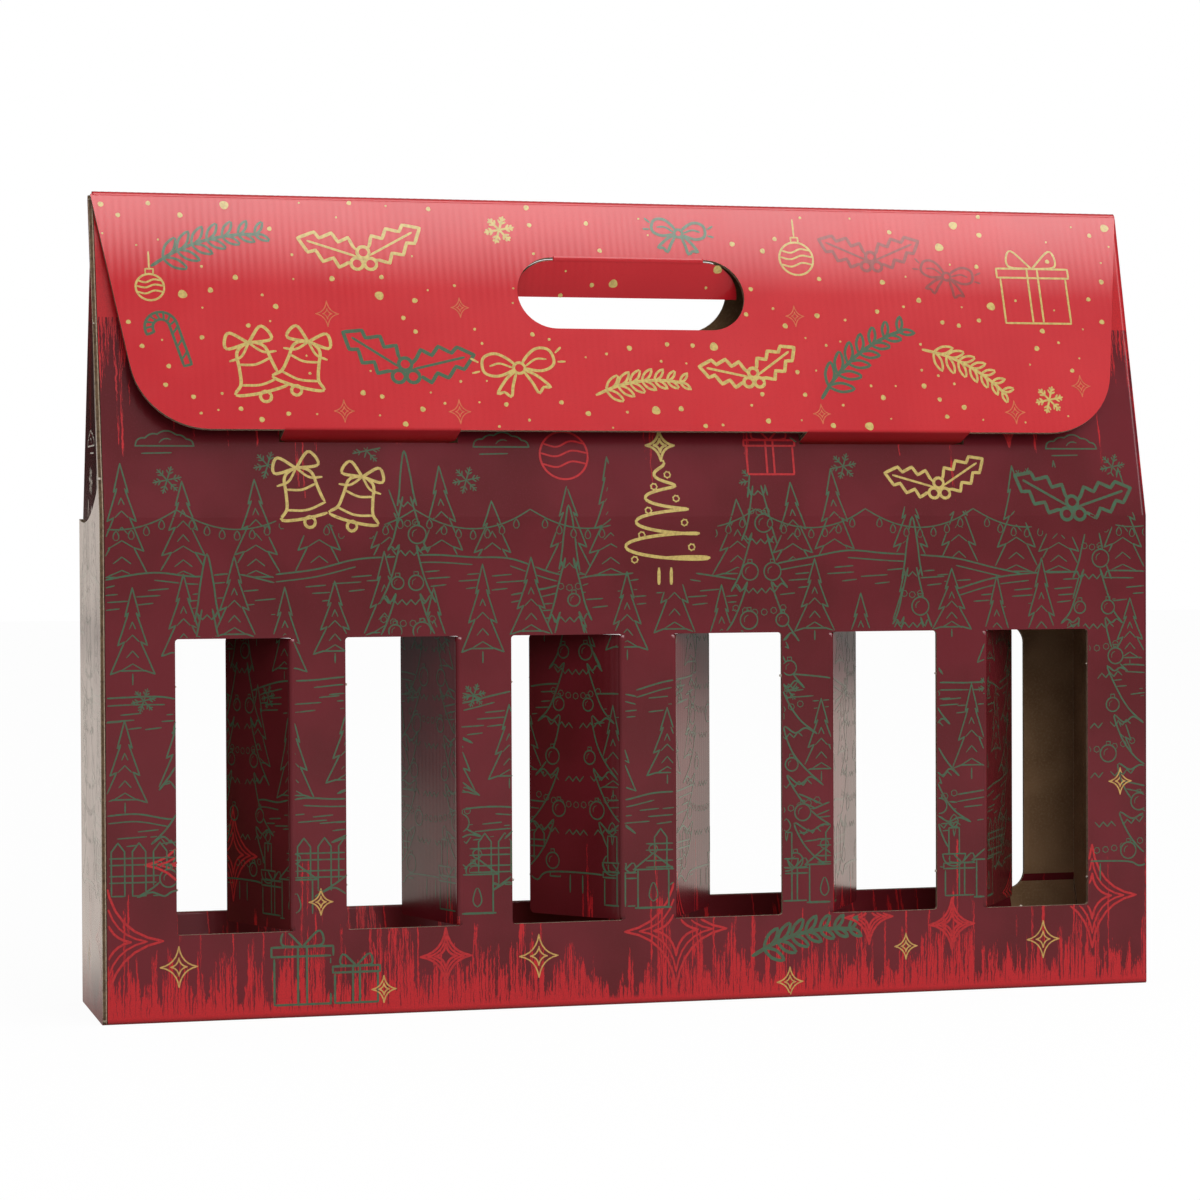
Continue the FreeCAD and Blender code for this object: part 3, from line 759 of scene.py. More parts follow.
class Web:
    """Short way to write the nodes of a material or world; lengths are millimetres."""

    def __init__(self, owner):
        self.owner = owner
        owner.use_nodes = True
        self.nodes = owner.node_tree.nodes
        self.shader = self.nodes.get("Principled BSDF")

    def put(self, socket, value):
        """Link a socket, or set its value."""
        if isinstance(value, Field):
            self.owner.node_tree.links.new(value.socket, socket)
        else:
            socket.default_value = value

    def shade(self, **inputs):
        """Put inputs of the shader; an underscore stands for a space."""
        for name, value in inputs.items():
            self.put(self.shader.inputs[name.replace("_", " ")], value)

    def node(self, kind, *values, out=0, named=(), **props):
        """Output of a new node, with its first inputs put in order and others by name."""
        node = self.nodes.new("ShaderNode" + kind)
        for name, value in props.items():
            setattr(node, name, value)
        for socket, value in zip(node.inputs, values):
            if value is not None:
                self.put(socket, value)
        for name, value in named:
            self.put(node.inputs[name], value)
        return Field(self, node.outputs[out])

    def math(self, operation, *values):
        """Maths node."""
        return self.node("Math", *values, operation=operation)

    def most(self, *values):
        """Larger of two values."""
        return self.math("MAXIMUM", *values)

    def near(self, value, middle, reach):
        """1 where a value lies within a reach of a middle."""
        return self.math("COMPARE", value, middle, reach)

    def dot(self, *vectors):
        """Dot product."""
        return self.node("VectorMath", *vectors, out="Value", operation="DOT_PRODUCT")

    def range(self, value, low, high, to_low=0.0, to_high=1.0, smooth=True):
        """Value mapped from one span to another, held at its ends."""
        return self.node("MapRange", value, low, high, to_low, to_high,
                         interpolation_type="SMOOTHSTEP" if smooth else "LINEAR")

    def noise(self, place, scale=1.0, detail=2.0, roughness=0.5, flat=None):
        """Noise; flat makes it run along one number only."""
        return self.node("TexNoise", place, flat, scale, detail, roughness,
                         noise_dimensions="3D" if flat is None else "1D")

    def dice(self, number):
        """A random value from 0 to 1 for each whole number."""
        return self.node("TexWhiteNoise", None, self.math("FLOOR", number), noise_dimensions="1D")

    def apart(self, vector):
        """Three numbers of a vector."""
        parts = self.node("SeparateXYZ", vector).socket.node.outputs
        return [Field(self, part) for part in parts]

    def mix(self, factor, first, second):
        """Mix of two colours."""
        return self.node("Mix", out="Result", named=(("Factor", factor), ("A", first), ("B", second)),
                         data_type="RGBA")

    def bump(self, height):
        """Relief from a height in millimetres."""
        return self.node("Bump", named=(("Strength", 1.0), ("Distance", 0.001), ("Height", height)))


def paint(name):
    """Nodes of a new material."""
    return Web(bpy.data.materials.new(name))


def colour(red, green, blue):
    """Linear colour from display values 0 to 255."""
    parts = [value / 255.0 for value in (red, green, blue)]
    return tuple(v / 12.92 if v <= 0.04045 else ((v + 0.055) / 1.055) ** 2.4 for v in parts) + (1.0,)


MAROON = colour(114, 31, 40)
DARK_MAROON = colour(100, 26, 32)
RED = colour(204, 40, 46)
LID_RED = colour(202, 32, 42)
KRAFT = colour(158, 126, 92)
DARK_KRAFT = colour(126, 96, 66)
LINER = colour(206, 188, 162)
CORE = colour(128, 102, 76)
WHITE, WARM_WHITE = (1, 1, 1, 1), (1, 0.9, 0.8, 1)
INKS = {"green": colour(72, 108, 82), "gold": colour(216, 192, 112), "red": colour(200, 46, 50),
        "amber": colour(214, 172, 98), "copper": colour(216, 116, 74), "rust": colour(150, 62, 58)}
FLUTE = 3.4


def place_and_run(web, along=None):
    """Object coordinates in millimetres, and the distance across the flutes.

    With no direction given, that is X, or Y on a face that looks along X.
    """
    metres = web.node("TexCoord", out="Object")
    place = web.node("VectorMath", metres, None, None, 1000.0, operation="SCALE")
    if along is not None:
        return place, web.dot(place, along)
    x, y, _ = web.apart(place)
    return place, x + (y - x) * looks_sideways(web)


def looks_sideways(web):
    """1 on faces that look along X."""
    return abs(web.apart(web.node("TexCoord", out="Normal"))[0]) > 0.7


def flute_relief(web, place, run, depth):
    """Height of the washboard: depth sin(2 pi run / pitch + drift), uneven and deepest at the ridge.

    Film texture and a slow buckle are added, and over the last 42 mm below the ridge the board rolls
    back by 0.003 (distance)^2.
    """
    drift = web.noise(None, 0.03, 2.0, flat=run) * 7.0
    wave = web.math("SINE", run * (2 * math.pi / FLUTE) + drift)
    height = web.apart(place)[2]
    patchy = web.math("MULTIPLY_ADD", web.noise(place, 0.022), 2.4, -0.3)
    wash = wave * depth * (patchy * web.range(height, 322.0, 366.0, 0.55, 2.0))
    grain = web.noise(place, 0.8) * (depth * 0.4)
    buckle = web.noise(place, 0.014, 0.0) * 0.3
    near = web.most(height - (RIDGE_Z - 42.0), 0.0)
    return (wash + grain) + (buckle + near * near * -0.003)


def film_gloss(web, place):
    """Roughness of the gloss film, which varies a little."""
    return web.math("MULTIPLY_ADD", web.noise(place, 0.05, 3.0), 0.1, 0.13)


def film_finish(web, place, run, depth=0.016):
    """Gloss film over print, with the flutes showing through."""
    web.shade(Roughness=film_gloss(web, place), Specular_IOR_Level=0.5,
              Normal=web.bump(flute_relief(web, place, run, depth)))


def columns(web, run, width, low, high, share, offset):
    """Random heights of brush columns: each cell of the run gets one, and a share of them get none."""
    return web.range(web.dice(run / width + offset), 1.0 - share, 1.0, low, high, smooth=False)


def brushed_red(web, place, run):
    """Where the red shows: brush columns that rise from the bottom edge and run down from the ridge.

    Three sets of columns of random height, 5.2, 2.4 and 0.9 mm wide, are joined by their highest.
    A slow noise lowers them in places, a noise stretched along the height makes their ends ragged
    and their sides wavy, and thin dry lines split the solid red.
    """
    height = web.apart(place)[2]

    def stretched(across, rise, detail, roughness):
        """Noise over a distance across and a share of the height."""
        return web.noise(web.node("CombineXYZ", across, 0.0, height * rise), 1.0, detail, roughness)
    wavy = web.math("MULTIPLY_ADD", stretched(run * 0.5, 0.3, 3.0, 0.6), 1.7, run)
    slow = web.range(web.noise(None, 0.03, 1.0, flat=run), 0.3, 0.7, 0.55, 1.35)
    broad = columns(web, wavy, 5.2, 8.0, 34.0, 1.0, 100.5)
    narrow = columns(web, wavy, 2.4, 0.0, 46.0, 0.62, 40.2)
    thin = columns(web, wavy, 0.9, 0.0, 66.0, 0.2, 70.7)
    tall = web.most(web.most(broad, narrow), thin) * slow
    frayed = web.range(stretched(run * 1.1, 0.14, 4.0, 0.7), 0.3, 0.7, -7.0, 3.0)
    dry = stretched(wavy * 1.25, 0.035, 3.0, 0.7)
    solid = web.range(dry - web.range(height, 2.0, 26.0, 0.43, 0.5), -0.012, 0.012)
    low = web.most(web.range(tall - height + frayed, -0.5, 0.5) * solid,
                   web.range(height, 2.0, 5.0, 1.0, 0.0))
    drop = 322.0 - (tall + frayed) * 1.15
    high = web.range(height - drop, -0.5, 0.5) * web.most(solid, height > 320.0)
    return web.most(low, high)


def print_colour(web, place, run, lid):
    """Base colour of the print: lid red, or maroon with the brushed red."""
    cloud = web.range(web.noise(place, 0.02, 3.0), 0.35, 0.65)
    speck = web.noise(place, 1.6)
    if lid:
        low = web.mix(cloud, LID_RED, colour(208, 38, 46))
        return web.mix(web.range(speck, 0.5, 0.75, 0.0, 0.3), low, colour(184, 26, 36))
    base = web.mix(cloud, DARK_MAROON, MAROON)
    base = web.mix(web.range(speck, 0.5, 0.75, 0.0, 0.4), base, colour(118, 34, 50))
    red = web.mix(web.range(speck, 0.4, 0.65, 0.0, 0.5), RED, colour(176, 34, 42))
    return web.mix(brushed_red(web, place, run), base, red)


def fold_relief(web, place):
    """Sides that roll off at the folds, and gables that lean in: height in millimetres.

    Within r of an edge a face drops by (r - distance)^2 / 2r. A gable drops by a quarter of its
    height above the shoulder.
    """
    x, _, z = web.apart(place)
    relief = 0.0
    for edge, reach in ((HALF_WIDTH - abs(x), 2.4), (z, 2.8)):
        short = web.most(reach - edge, 0.0)
        relief = relief + short * short * (-0.5 / reach)
    sideways = looks_sideways(web)
    gable = abs(x) < HALF_WIDTH - BOARD / 2
    return relief * (1.0 - sideways) + z * -0.25 * (sideways * gable)


def board_material(name, faces, along=None, lid=False, folds=False):
    """Board with printed faces, kraft inside and layered cut edges.

    Each face is (outward normal, offset in millimetres, low X, high X). A point is printed where its
    normal leans to a face's normal and it lies on that face; it is a cut edge where it lies less than
    a board's thickness under a face and its normal is square to it.
    """
    web = paint(name)
    place, run = place_and_run(web, along)
    normal = web.node("TexCoord", out="Normal")
    printed, cut, depth = 0.0, 0.0, 0.0
    for face_normal, offset, low, high in faces:
        lean = web.dot(normal, face_normal)
        under = offset - web.dot(place, face_normal)
        hit = (lean > 0.6) * web.near(under, 0.0, 0.62)
        if low is not None:
            hit = hit * web.near(web.apart(place)[0], (low + high) / 2, (high - low) / 2)
        printed = web.most(printed, hit)
        edge = web.near(lean, 0.0, 0.5) * web.near(under, BOARD / 2, BOARD / 2 + 0.1)
        cut = web.most(cut, edge)
        depth = web.most(depth, edge * under)
    fibre = web.noise(place, 0.8, 5.0, 0.65)
    kraft = web.mix(web.range(web.noise(place, 0.03, 3.0), 0.3, 0.7), DARK_KRAFT, KRAFT)
    kraft = web.mix(web.range(fibre, 0.45, 0.7, 0.0, 0.5), kraft, colour(172, 142, 108))
    swing = web.math("SINE", run * (2 * math.pi / FLUTE))
    flute = web.near(depth, web.math("MULTIPLY_ADD", swing, 0.52, BOARD / 2), 0.2)
    flute = flute * (abs(web.apart(normal)[2]) > 0.5)
    paper = web.most(flute, abs(depth - BOARD / 2) > 0.62)
    torn = web.range(web.noise(place, 1.1, 4.0, 0.7), 0.3, 0.6, 0.25, 1.0)
    pulp = web.mix(web.range(web.noise(place, 0.5, 4.0, 0.7), 0.35, 0.65), colour(88, 66, 48), CORE)
    inner = web.mix(cut, kraft, web.mix(paper * torn, pulp, LINER))
    bare = 1.0 - printed
    relief = flute_relief(web, place, run, 0.016) + fibre * 0.09 * bare
    if folds:
        relief = relief + fold_relief(web, place)
    web.shade(Base_Color=web.mix(printed, inner, print_colour(web, place, run, lid)),
              Roughness=web.math("MULTIPLY_ADD", bare, 0.6, film_gloss(web, place)),
              Specular_IOR_Level=0.5, Normal=web.bump(relief))
    return web.owner


def film_material(name, along, lid=False):
    """Printed film alone, for the rolled creases."""
    web = paint(name)
    place, run = place_and_run(web, along)
    web.shade(Base_Color=print_colour(web, place, run, lid))
    film_finish(web, place, run, 0.006)
    return web.owner


def ink_material(name, ink, along=None):
    """Line ink under the same film: its colour thins out a little, and the flutes show."""
    web = paint(name)
    place, run = place_and_run(web, along)
    full = tuple(getattr(bpy.context.scene.carrier_print, ink)) if ink in ("green", "gold") else INKS[ink]
    thin = tuple(0.72 * a + 0.28 * b for a, b in zip(full, MAROON))
    web.shade(Base_Color=web.mix(web.range(web.noise(place, 0.7, 3.0, 0.6), 0.35, 0.6), thin, full))
    film_finish(web, place, run)
    return web.owner


def fibre_material(name):
    """Torn paper fibres: pale, rough and matt."""
    web = paint(name)
    place, _ = place_and_run(web, (1.0, 1.0, 0.0))
    fibre = web.noise(place, 3.0, 4.0, 0.7)
    pale = web.mix(web.range(fibre, 0.35, 0.65), colour(186, 168, 148), colour(226, 216, 204))
    web.shade(Base_Color=pale, Roughness=0.9, Normal=web.bump(fibre * 0.3))
    return web.owner


def carton_faces():
    """Printed faces of the carton: walls, slopes, bottom, gables and the tray's inner face."""
    tray = unit(0, -math.cos(TRAY_LEAN), math.sin(TRAY_LEAN))
    lip = (0, HALF_DEPTH - BOARD - BOARD * math.cos(TRAY_LEAN), SILL + BOARD * math.sin(TRAY_LEAN))
    foot = 2 * BOARD + 0.3  # inner face of the tray's run along the bottom
    front, slope = unit(0, -1, 0), unit(0, -math.cos(SLOPE), math.sin(SLOPE))
    back_slope = unit(0, math.cos(BACK_SLOPE), math.sin(BACK_SLOPE))
    past_end = (-HALF_WIDTH + BOARD + 0.25, HALF_WIDTH + 1)
    anywhere = (None, None)
    faces = [(front, (0, -HALF_DEPTH, 0), past_end), (slope, (0, -HALF_DEPTH, SHOULDER), past_end),
             (-front, (0, HALF_DEPTH, 0), anywhere), (back_slope, (0, HALF_DEPTH, SHOULDER), anywhere)]
    faces += [(unit(side, 0, 0), (side * reach, 0, 0), anywhere)
              for side in (-1, 1) for reach in (HALF_WIDTH, HALF_WIDTH - BOARD)]
    faces += [(unit(0, 0, -1), (0, 0, 0), anywhere), (unit(0, 0, 1), (0, 0, RIDGE_Z), anywhere),
              (tray, lip, anywhere), (unit(0, 0, 1), (0, 0, foot), anywhere),
              (unit(0, 1, 0), (0, foot - HALF_DEPTH, 0), anywhere)]
    return [(tuple(normal), float(normal @ point)) + span for normal, point, span in faces]


def lid_faces():
    """Printed faces of the lid: its outer face and the underside of the two tabs."""
    low_edge = float(LID_DOWN @ RIDGE) + LID_LENGTH
    return ([(LID_OUT, float(LID_OUT @ RIDGE) + BOARD, None, None)]
            + [(tuple(LID_DOWN), low_edge) + span for span in TAB_SPANS])


def leaning_face(body, flush):
    """Printed face of a folded flap: its direction when flush, turned about the crease."""
    out = swung(flush, body, folded(body))
    return [(tuple(out), float(out @ hinge_place(body)) + BOARD, None, None)]


# --- Where each sheet is cut ---

def in_window(points, margin=0.6):
    """Number 1 to 6 of the window that a point of the front is in by a margin, or 0."""
    column = np.floor((points[:, 0] - FIRST_WINDOW) / PITCH)
    within = points[:, 0] - FIRST_WINDOW - column * PITCH
    hit = ((within > margin) & (within < WINDOW_WIDTH - margin) & (points[:, 1] > SILL + margin)
           & (points[:, 1] < WINDOW_TOP - margin) & (column >= 0) & (column <= 5))
    return np.where(hit, column + 1, 0).astype(int)


def in_slot(points, middle, half, radius, grow):
    """Inside a long hole: nearer than its radius to the line through its middle."""
    reach = np.maximum(np.abs(points[:, 0]) - (half - radius), 0.0)
    return np.hypot(reach, points[:, 1] - middle) < radius + grow


def on_front(points):
    """Front and front slope, clear of the windows, hand hole and slits."""
    grip = SHOULDER + (RIDGE_Z - GRIP_DOWN * math.cos(LID_LEAN) - SHOULDER) / math.cos(SLOPE)
    top = SHOULDER + (RIDGE_Z - SHOULDER) / math.cos(SLOPE)
    slit = top - LID_LENGTH
    in_slit = np.any([(points[:, 0] > low - 2) & (points[:, 0] < high + 2) for low, high in TAB_SPANS], 0)
    in_slit &= np.abs(points[:, 1] - slit) < 4.5
    return ((in_window(points, -0.6) == 0) & (points[:, 0] > -HALF_WIDTH + BOARD + 0.8)
            & (points[:, 0] < HALF_WIDTH - 0.8) & (points[:, 1] > 1.0) & (points[:, 1] < top - 1.5)
            & ~in_slot(points, grip, GRIP_HALF + 3, GRIP_RADIUS + 3, 1.5) & ~in_slit)


def on_back(points):
    """Back and back slope, clear of the long opening and the hand hole."""
    top = SHOULDER + (RIDGE_Z - SHOULDER) / math.cos(BACK_SLOPE)
    grip = top - BACK_GRIP_DROP / math.cos(BACK_SLOPE)
    right = FIRST_WINDOW + 5 * PITCH + WINDOW_WIDTH
    opening = ((points[:, 0] > FIRST_WINDOW - 1) & (points[:, 0] < right + 1)
               & (points[:, 1] > SILL - 1) & (points[:, 1] < WINDOW_TOP + 1))
    return (~opening & (np.abs(points[:, 0]) < HALF_WIDTH - 1) & (points[:, 1] > 1.0)
            & (points[:, 1] < top - 1.5) & ~in_slot(points, grip, GRIP_HALF, BACK_GRIP_RADIUS, 1.0))


def on_end(points):
    """End wall below the shoulder, and the set-back gable above the curve of its outer board."""
    y, z = points[:, 0], points[:, 1]
    wall = (z < SHOULDER - 1) & (z > 1) & (np.abs(y) < HALF_DEPTH - 1)
    over = z - SHOULDER
    gable = ((np.hypot(y - GABLE_Y, z - GABLE_Z) < GABLE_RADIUS) & (z < RIDGE_Z - 3)
             & (y > -HALF_DEPTH + over * math.tan(SLOPE) + 4.2)
             & (y < HALF_DEPTH - over * math.tan(BACK_SLOPE) - 1.2))
    return wall | (gable & (z > SHOULDER + 0.3))


def on_lid(points, margin=0.8):
    """Lid outline: a tapering panel with two round corners, less its hand hole."""
    down = points[:, 1]
    half = HALF_WIDTH - 0.8 - LID_TAPER * down / LID_LENGTH
    corner_x, corner_y = HALF_WIDTH - 0.8 - LID_TAPER - LID_CORNER, LID_LENGTH - LID_CORNER
    beyond = (np.abs(points[:, 0]) > corner_x) & (down > corner_y)
    rounded = np.hypot(np.abs(points[:, 0]) - corner_x, down - corner_y) < LID_CORNER - margin
    return ((down > 0.5) & (down < LID_LENGTH - margin) & (np.abs(points[:, 0]) < half - margin)
            & (~beyond | rounded) & ~in_slot(points, GRIP_DOWN, GRIP_HALF, GRIP_RADIUS, margin))


def on_handle_flap(points):
    """Upper half of the hand hole: above its middle line."""
    hole = in_slot(points, GRIP_DOWN, GRIP_HALF, GRIP_RADIUS, -1.0)
    return hole & (points[:, 1] < GRIP_DOWN - 0.5) & (points[:, 1] > 29.0)


# --- Settings ---

class CarrierPrint(bpy.types.PropertyGroup):
    """Print and ink sizes."""
    line_scale: FloatProperty(
        name="Line width", description="Width of every drawn line, as a share of its own",
        default=1.0, min=0.3, max=3.0)
    dot_count: IntProperty(
        name="Snow dots", description="Gold dots scattered over the lid", default=175, min=0, max=600)
    green: FloatVectorProperty(
        name="Green ink", description="Colour of the thin line drawing", subtype="COLOR",
        size=4, min=0, max=1, default=INKS["green"])
    gold: FloatVectorProperty(
        name="Gold ink", description="Colour of the dots and stars", subtype="COLOR",
        size=4, min=0, max=1, default=INKS["gold"])


class CarrierCreases(bpy.types.PropertyGroup):
    """Creases, nicks and tears."""
    overlap: FloatProperty(
        name="Overlap", description="How far a rolled crease runs on to the board at each side",
        default=0.0012, unit="LENGTH")
    skin: FloatProperty(
        name="Skin", description="Thickness of the rolled paper", default=0.0004, unit="LENGTH")
    nick: FloatProperty(
        name="Nick", description="Size of the paper stubs that the die's bridges leave",
        default=0.0011, unit="LENGTH")


class CarrierStage(bpy.types.PropertyGroup):
    """Camera, lamps and floor."""
    lens: FloatProperty(
        name="Lens", description="Focal length on a 36 mm frame", default=100.49, unit="CAMERA")
    key: FloatProperty(
        name="Key lamp", description="Power of the lamp in front, which the gloss doesn't show",
        default=20.0, unit="POWER")
    side: FloatProperty(
        name="Side lamp", description="Power of the weak lamp at the right", default=7.0, unit="POWER")
    sky: FloatProperty(
        name="Surround", description="Light from all round", default=0.74, min=0, max=3)


# --- Pieces ---

def put_material(node, material):
    """Give a carried-over node its board material in every slot."""
    mesh_object = NODES[node]
    mesh_object.data.materials.clear()
    mesh_object.data.materials.append(material)


class CARRIER_OT_board(bpy.types.Operator):
    """Give the folded sheet, the lid and the flaps their printed, kraft and cut surfaces"""
    bl_idname = "carrier.board"
    bl_label = "Board surfaces"

    def execute(self, context):
        put_material("carton", board_material("carton board", carton_faces(), folds=True))
        put_material("lid", board_material("lid board", lid_faces(), ACROSS, lid=True))
        put_material("handle_flap", board_material(
            "handle flap board", leaning_face("handle_flap", LID_OUT), ACROSS, lid=True))
        for number in range(1, 7):
            body = divider(number)
            put_material(body, board_material("divider board %d" % number, leaning_face(body, FRONT_OUT),
                                              tuple(swung(ACROSS, body, folded(body)))))
        return {"FINISHED"}


def lay_inks(label, parts, sheet, body, along):
    """One ribbon piece for each ink of a clipped print."""
    for ink, strokes in parts.items():
        if strokes:
            ribbons("%s_%s_lines" % (label, ink), strokes, sheet, body,
                    ink_material("%s %s ink" % (label, ink), ink, along))


FRONT_STARS = [
    ("amber", -219.5, 25.2, 9.2), ("amber", -125.2, 11.6, 6.2), ("amber", -154.3, 52.6, 6),
    ("amber", -51.8, 24.2, 10), ("amber", 70.9, 7.5, 7), ("amber", 129.3, 22.4, 6.2),
    ("amber", 199.8, 23.3, 9), ("amber", 240.2, 99.1, 6.4), ("red", -96, 25.7, 13),
    ("red", 14.6, 34, 27), ("red", 152.8, 32.2, 12.5), ("red", 110.6, 37, 13),
    ("red", 225.4, 43.4, 25), ("red", -252.3, 37.2, 28), ("red", -214.2, 71.7, 22),
    ("red", 186.2, 274.9, 12),
]
BACK_STARS = [
    ("amber", -212, 21, 9), ("amber", -121, 27, 6.5), ("amber", -18, 19, 8.5),
    ("amber", 77, 24, 6.5), ("amber", 168, 18, 9), ("amber", 238, 118, 6.5),
    ("red", -168, 30, 20), ("red", 30, 30, 26), ("red", 214, 36, 24),
    ("amber", -238, 96, 6.5),
]
# Ornament, its middle, the half width and half height kept clear for it, ink, shift, size, turn, line
FRONT_ORNAMENTS = [
    (draw_bell, -161, 241, 16, 21, "gold", 0, -2, 25, 12, 1.4),
    (draw_bell, -136, 238, 15, 20, "gold", 0, -2, 23, -14, 1.4),
    (draw_ribbon_tree, 10, 238, 27, 44, "gold", 0, -32, 46, 52, 1.5),
    (draw_holly, 148, 246, 27, 16, "gold", 0, -4, 28, 8, 1.5),
    (draw_holly, 216, 236, 32, 17, "green", 0, -4, 33, -6, 1.7),
    (draw_sprig, 78, 26, 29, 14, "green", 0, 0, 52, 12, 1.9),
    (draw_parcel, -163, 24, 17, 24, "green", 0, -18, 26, 22),
    (draw_parcel, -138, 18, 13, 18, "green", 0, -12, 20, 14),
    (draw_bauble, -37, 258, 12, 15, "red", 0, 0, 11.5, 6),
    (draw_parcel, 64, 258, 14, 14, "red", 0, -9, 23, 14),
]
BACK_ORNAMENTS = [
    (draw_holly, -170, 244, 32, 17, "gold", 0, -4, 32, 8, 2),
    (draw_ribbon_tree, -40, 236, 27, 42, "gold", 0, -30, 46, 56, 1.8),
    (draw_bell, 88, 243, 16, 21, "gold", 0, -2, 25, -12, 1.6),
    (draw_sprig, 196, 240, 30, 15, "green", 0, 0, 54, -10, 1.9),
    (draw_parcel, -66, 24, 17, 24, "green", 0, -18, 26, 22),
]


class CARRIER_OT_front_print(bpy.types.Operator):
    """Draw the front's line pattern, carried on over the six dividers"""
    bl_idname = "carrier.front_print"
    bl_label = "Front print"

    def execute(self, context):
        art = winter_print(3, -HALF_WIDTH, HALF_WIDTH, FRONT_STARS, FRONT_ORNAMENTS)
        lay_inks("front", art.clipped(on_front), front_sheet, "carton", ACROSS)
        for number in range(1, 7):
            body = divider(number)
            parts = art.clipped(lambda points: in_window(points) == number)
            lay_inks("divider_%d" % number, parts, folded_sheet(body, front_sheet), body,
                     tuple(swung(ACROSS, body, folded(body))))
        return {"FINISHED"}


class CARRIER_OT_back_print(bpy.types.Operator):
    """Draw the back's and the two ends' line patterns"""
    bl_idname = "carrier.back_print"
    bl_label = "Back and end print"

    def execute(self, context):
        art = winter_print(8, -HALF_WIDTH, HALF_WIDTH, BACK_STARS, BACK_ORNAMENTS)
        lay_inks("back", art.clipped(on_back), back_sheet, "carton", ACROSS)
        for label, side, seed in (("left_end", -1, 5), ("right_end", 1, 6)):
            stars = [("amber", 12.0, 26.0, 7.0), ("red", -41.8, 37.2, 28.0)]
            art = winter_print(seed, -HALF_DEPTH, HALF_DEPTH, stars)
            lay_inks(label, art.clipped(on_end), end_sheet(side), "carton",
                     (0.0, 1.0, 0.0))
        return {"FINISHED"}


LID_ORNAMENTS = [
    (draw_sprig, "green", -201, 27, 54, 18, 1.6),
    (draw_holly, "gold", -128, 30, 32, 6, 1.6),
    (draw_bell, "gold", -181, 86, 26, 14, 1.5),
    (draw_bell, "gold", -160, 84, 24, -16, 1.5),
    (draw_holly, "green", -112, 86, 34, -10, 1.8),
    (draw_bow, "gold", -58, 84, 34, 8, 1.4),
    (draw_sprig, "gold", 0, 94, 44, 8, 1.5),
    (draw_bow, "green", 26, 14, 26, -6, 1.5),
    (draw_holly, "gold", 56, 88, 27, 12, 1.7),
    (draw_sprig, "green", 112, 80, 58, 38, 1.8),
    (draw_holly, "rust", 122, 27, 28, 0, 1.6),
    (draw_bow, "rust", 160, 34, 26, -12, 1.3),
    (draw_sprig, "gold", 163, 84, 46, -30, 1.5),
    (draw_cane, "green", -222, 72, 26, 16, 1.3),
]
LID_STARS = [(-146.9, 58, 6.4), (-88, 106, 6), (222.5, 90.7, 5.6), (186.4, 104.6, 6),
             (-84, 54, 5), (80, 56, 5.4), (88, 106, 5), (-142, 106, 5.5)]


def lid_print():
    """Ornaments, parcel, baubles and thin stars of the lid; along runs down from the ridge."""
    art = Print(21)
    upside = np.array([1.0, -1.0])
    for draw, ink, x, down, size, turn, width in LID_ORNAMENTS:
        draw(art, ink, x, -down, size, turn, width)
    draw_parcel(art, "gold", 205, -58, 34, 24)
    draw_bauble(art, "gold", -228, -46, 6.5, 8)
    draw_bauble(art, "gold", 84, -26, 8.5, 9)
    draw_snowflake(art, 205, -98, 7, "gold", 1)
    draw_snowflake(art, -62, -14, 7, "gold", 1.1)
    for ink in list(art.strokes):
        art.strokes[ink] = [(width, points * upside) for width, points in art.strokes[ink]]
    for x, down, radius in LID_STARS:
        art.line("copper", four_point(x, down, radius * 0.85, radius), 0.5, False, True)
        art.line("copper", four_point(x, down, radius * 0.35, radius * 0.42), 0.45, False, True)
    return art


def snow_dots(art, count):
    """Scattered dots of three sizes, kept a little apart from each other and from every line."""
    random = np.random.default_rng(12)
    lines = np.vstack([points for strokes in art.strokes.values() for _, points in strokes])
    spots = np.empty((0, 3))
    for _ in range(count * 8):
        if len(spots) >= count:
            break
        x, down = random.uniform(-252, 252), random.uniform(1.5, 114)
        radius = random.choice([0.5, 0.7, 1.1, 1.3, 2.1], p=[0.26, 0.22, 0.27, 0.15, 0.1])
        spot = np.array([[x, down]])
        if not (on_lid(spot, radius + 0.7) | on_handle_flap(spot))[0]:
            continue
        if np.hypot(*(lines - spot).T).min() < radius + 2.2:
            continue
        if len(spots) and (np.hypot(*(spots[:, :2] - spot).T) < 6.0 + radius + spots[:, 2]).any():
            continue
        spots = np.vstack([spots, [x, down, radius]])
    return spots


class CARRIER_OT_lid_print(bpy.types.Operator):
    """Draw the lid's ornaments, stars and snow dots, carried on over the hand hole's flap"""
    bl_idname = "carrier.lid_print"
    bl_label = "Lid print"

    def execute(self, context):
        art = lid_print()
        spots = snow_dots(art, context.scene.carrier_print.dot_count)
        gold = ink_material("snow dot ink", "gold", ACROSS)
        for body, sheet, where in (("lid", lid_sheet, on_lid),
                                   ("handle_flap", folded_sheet("handle_flap", lid_sheet), on_handle_flap)):
            lay_inks(body, art.clipped(where), sheet, body, ACROSS)
            on_flap = on_handle_flap(spots[:, :2])
            chosen = spots[on_flap if body == "handle_flap" else ~on_flap]
            discs(body + "_snow_dots", chosen, sheet, body, gold)
        return {"FINISHED"}


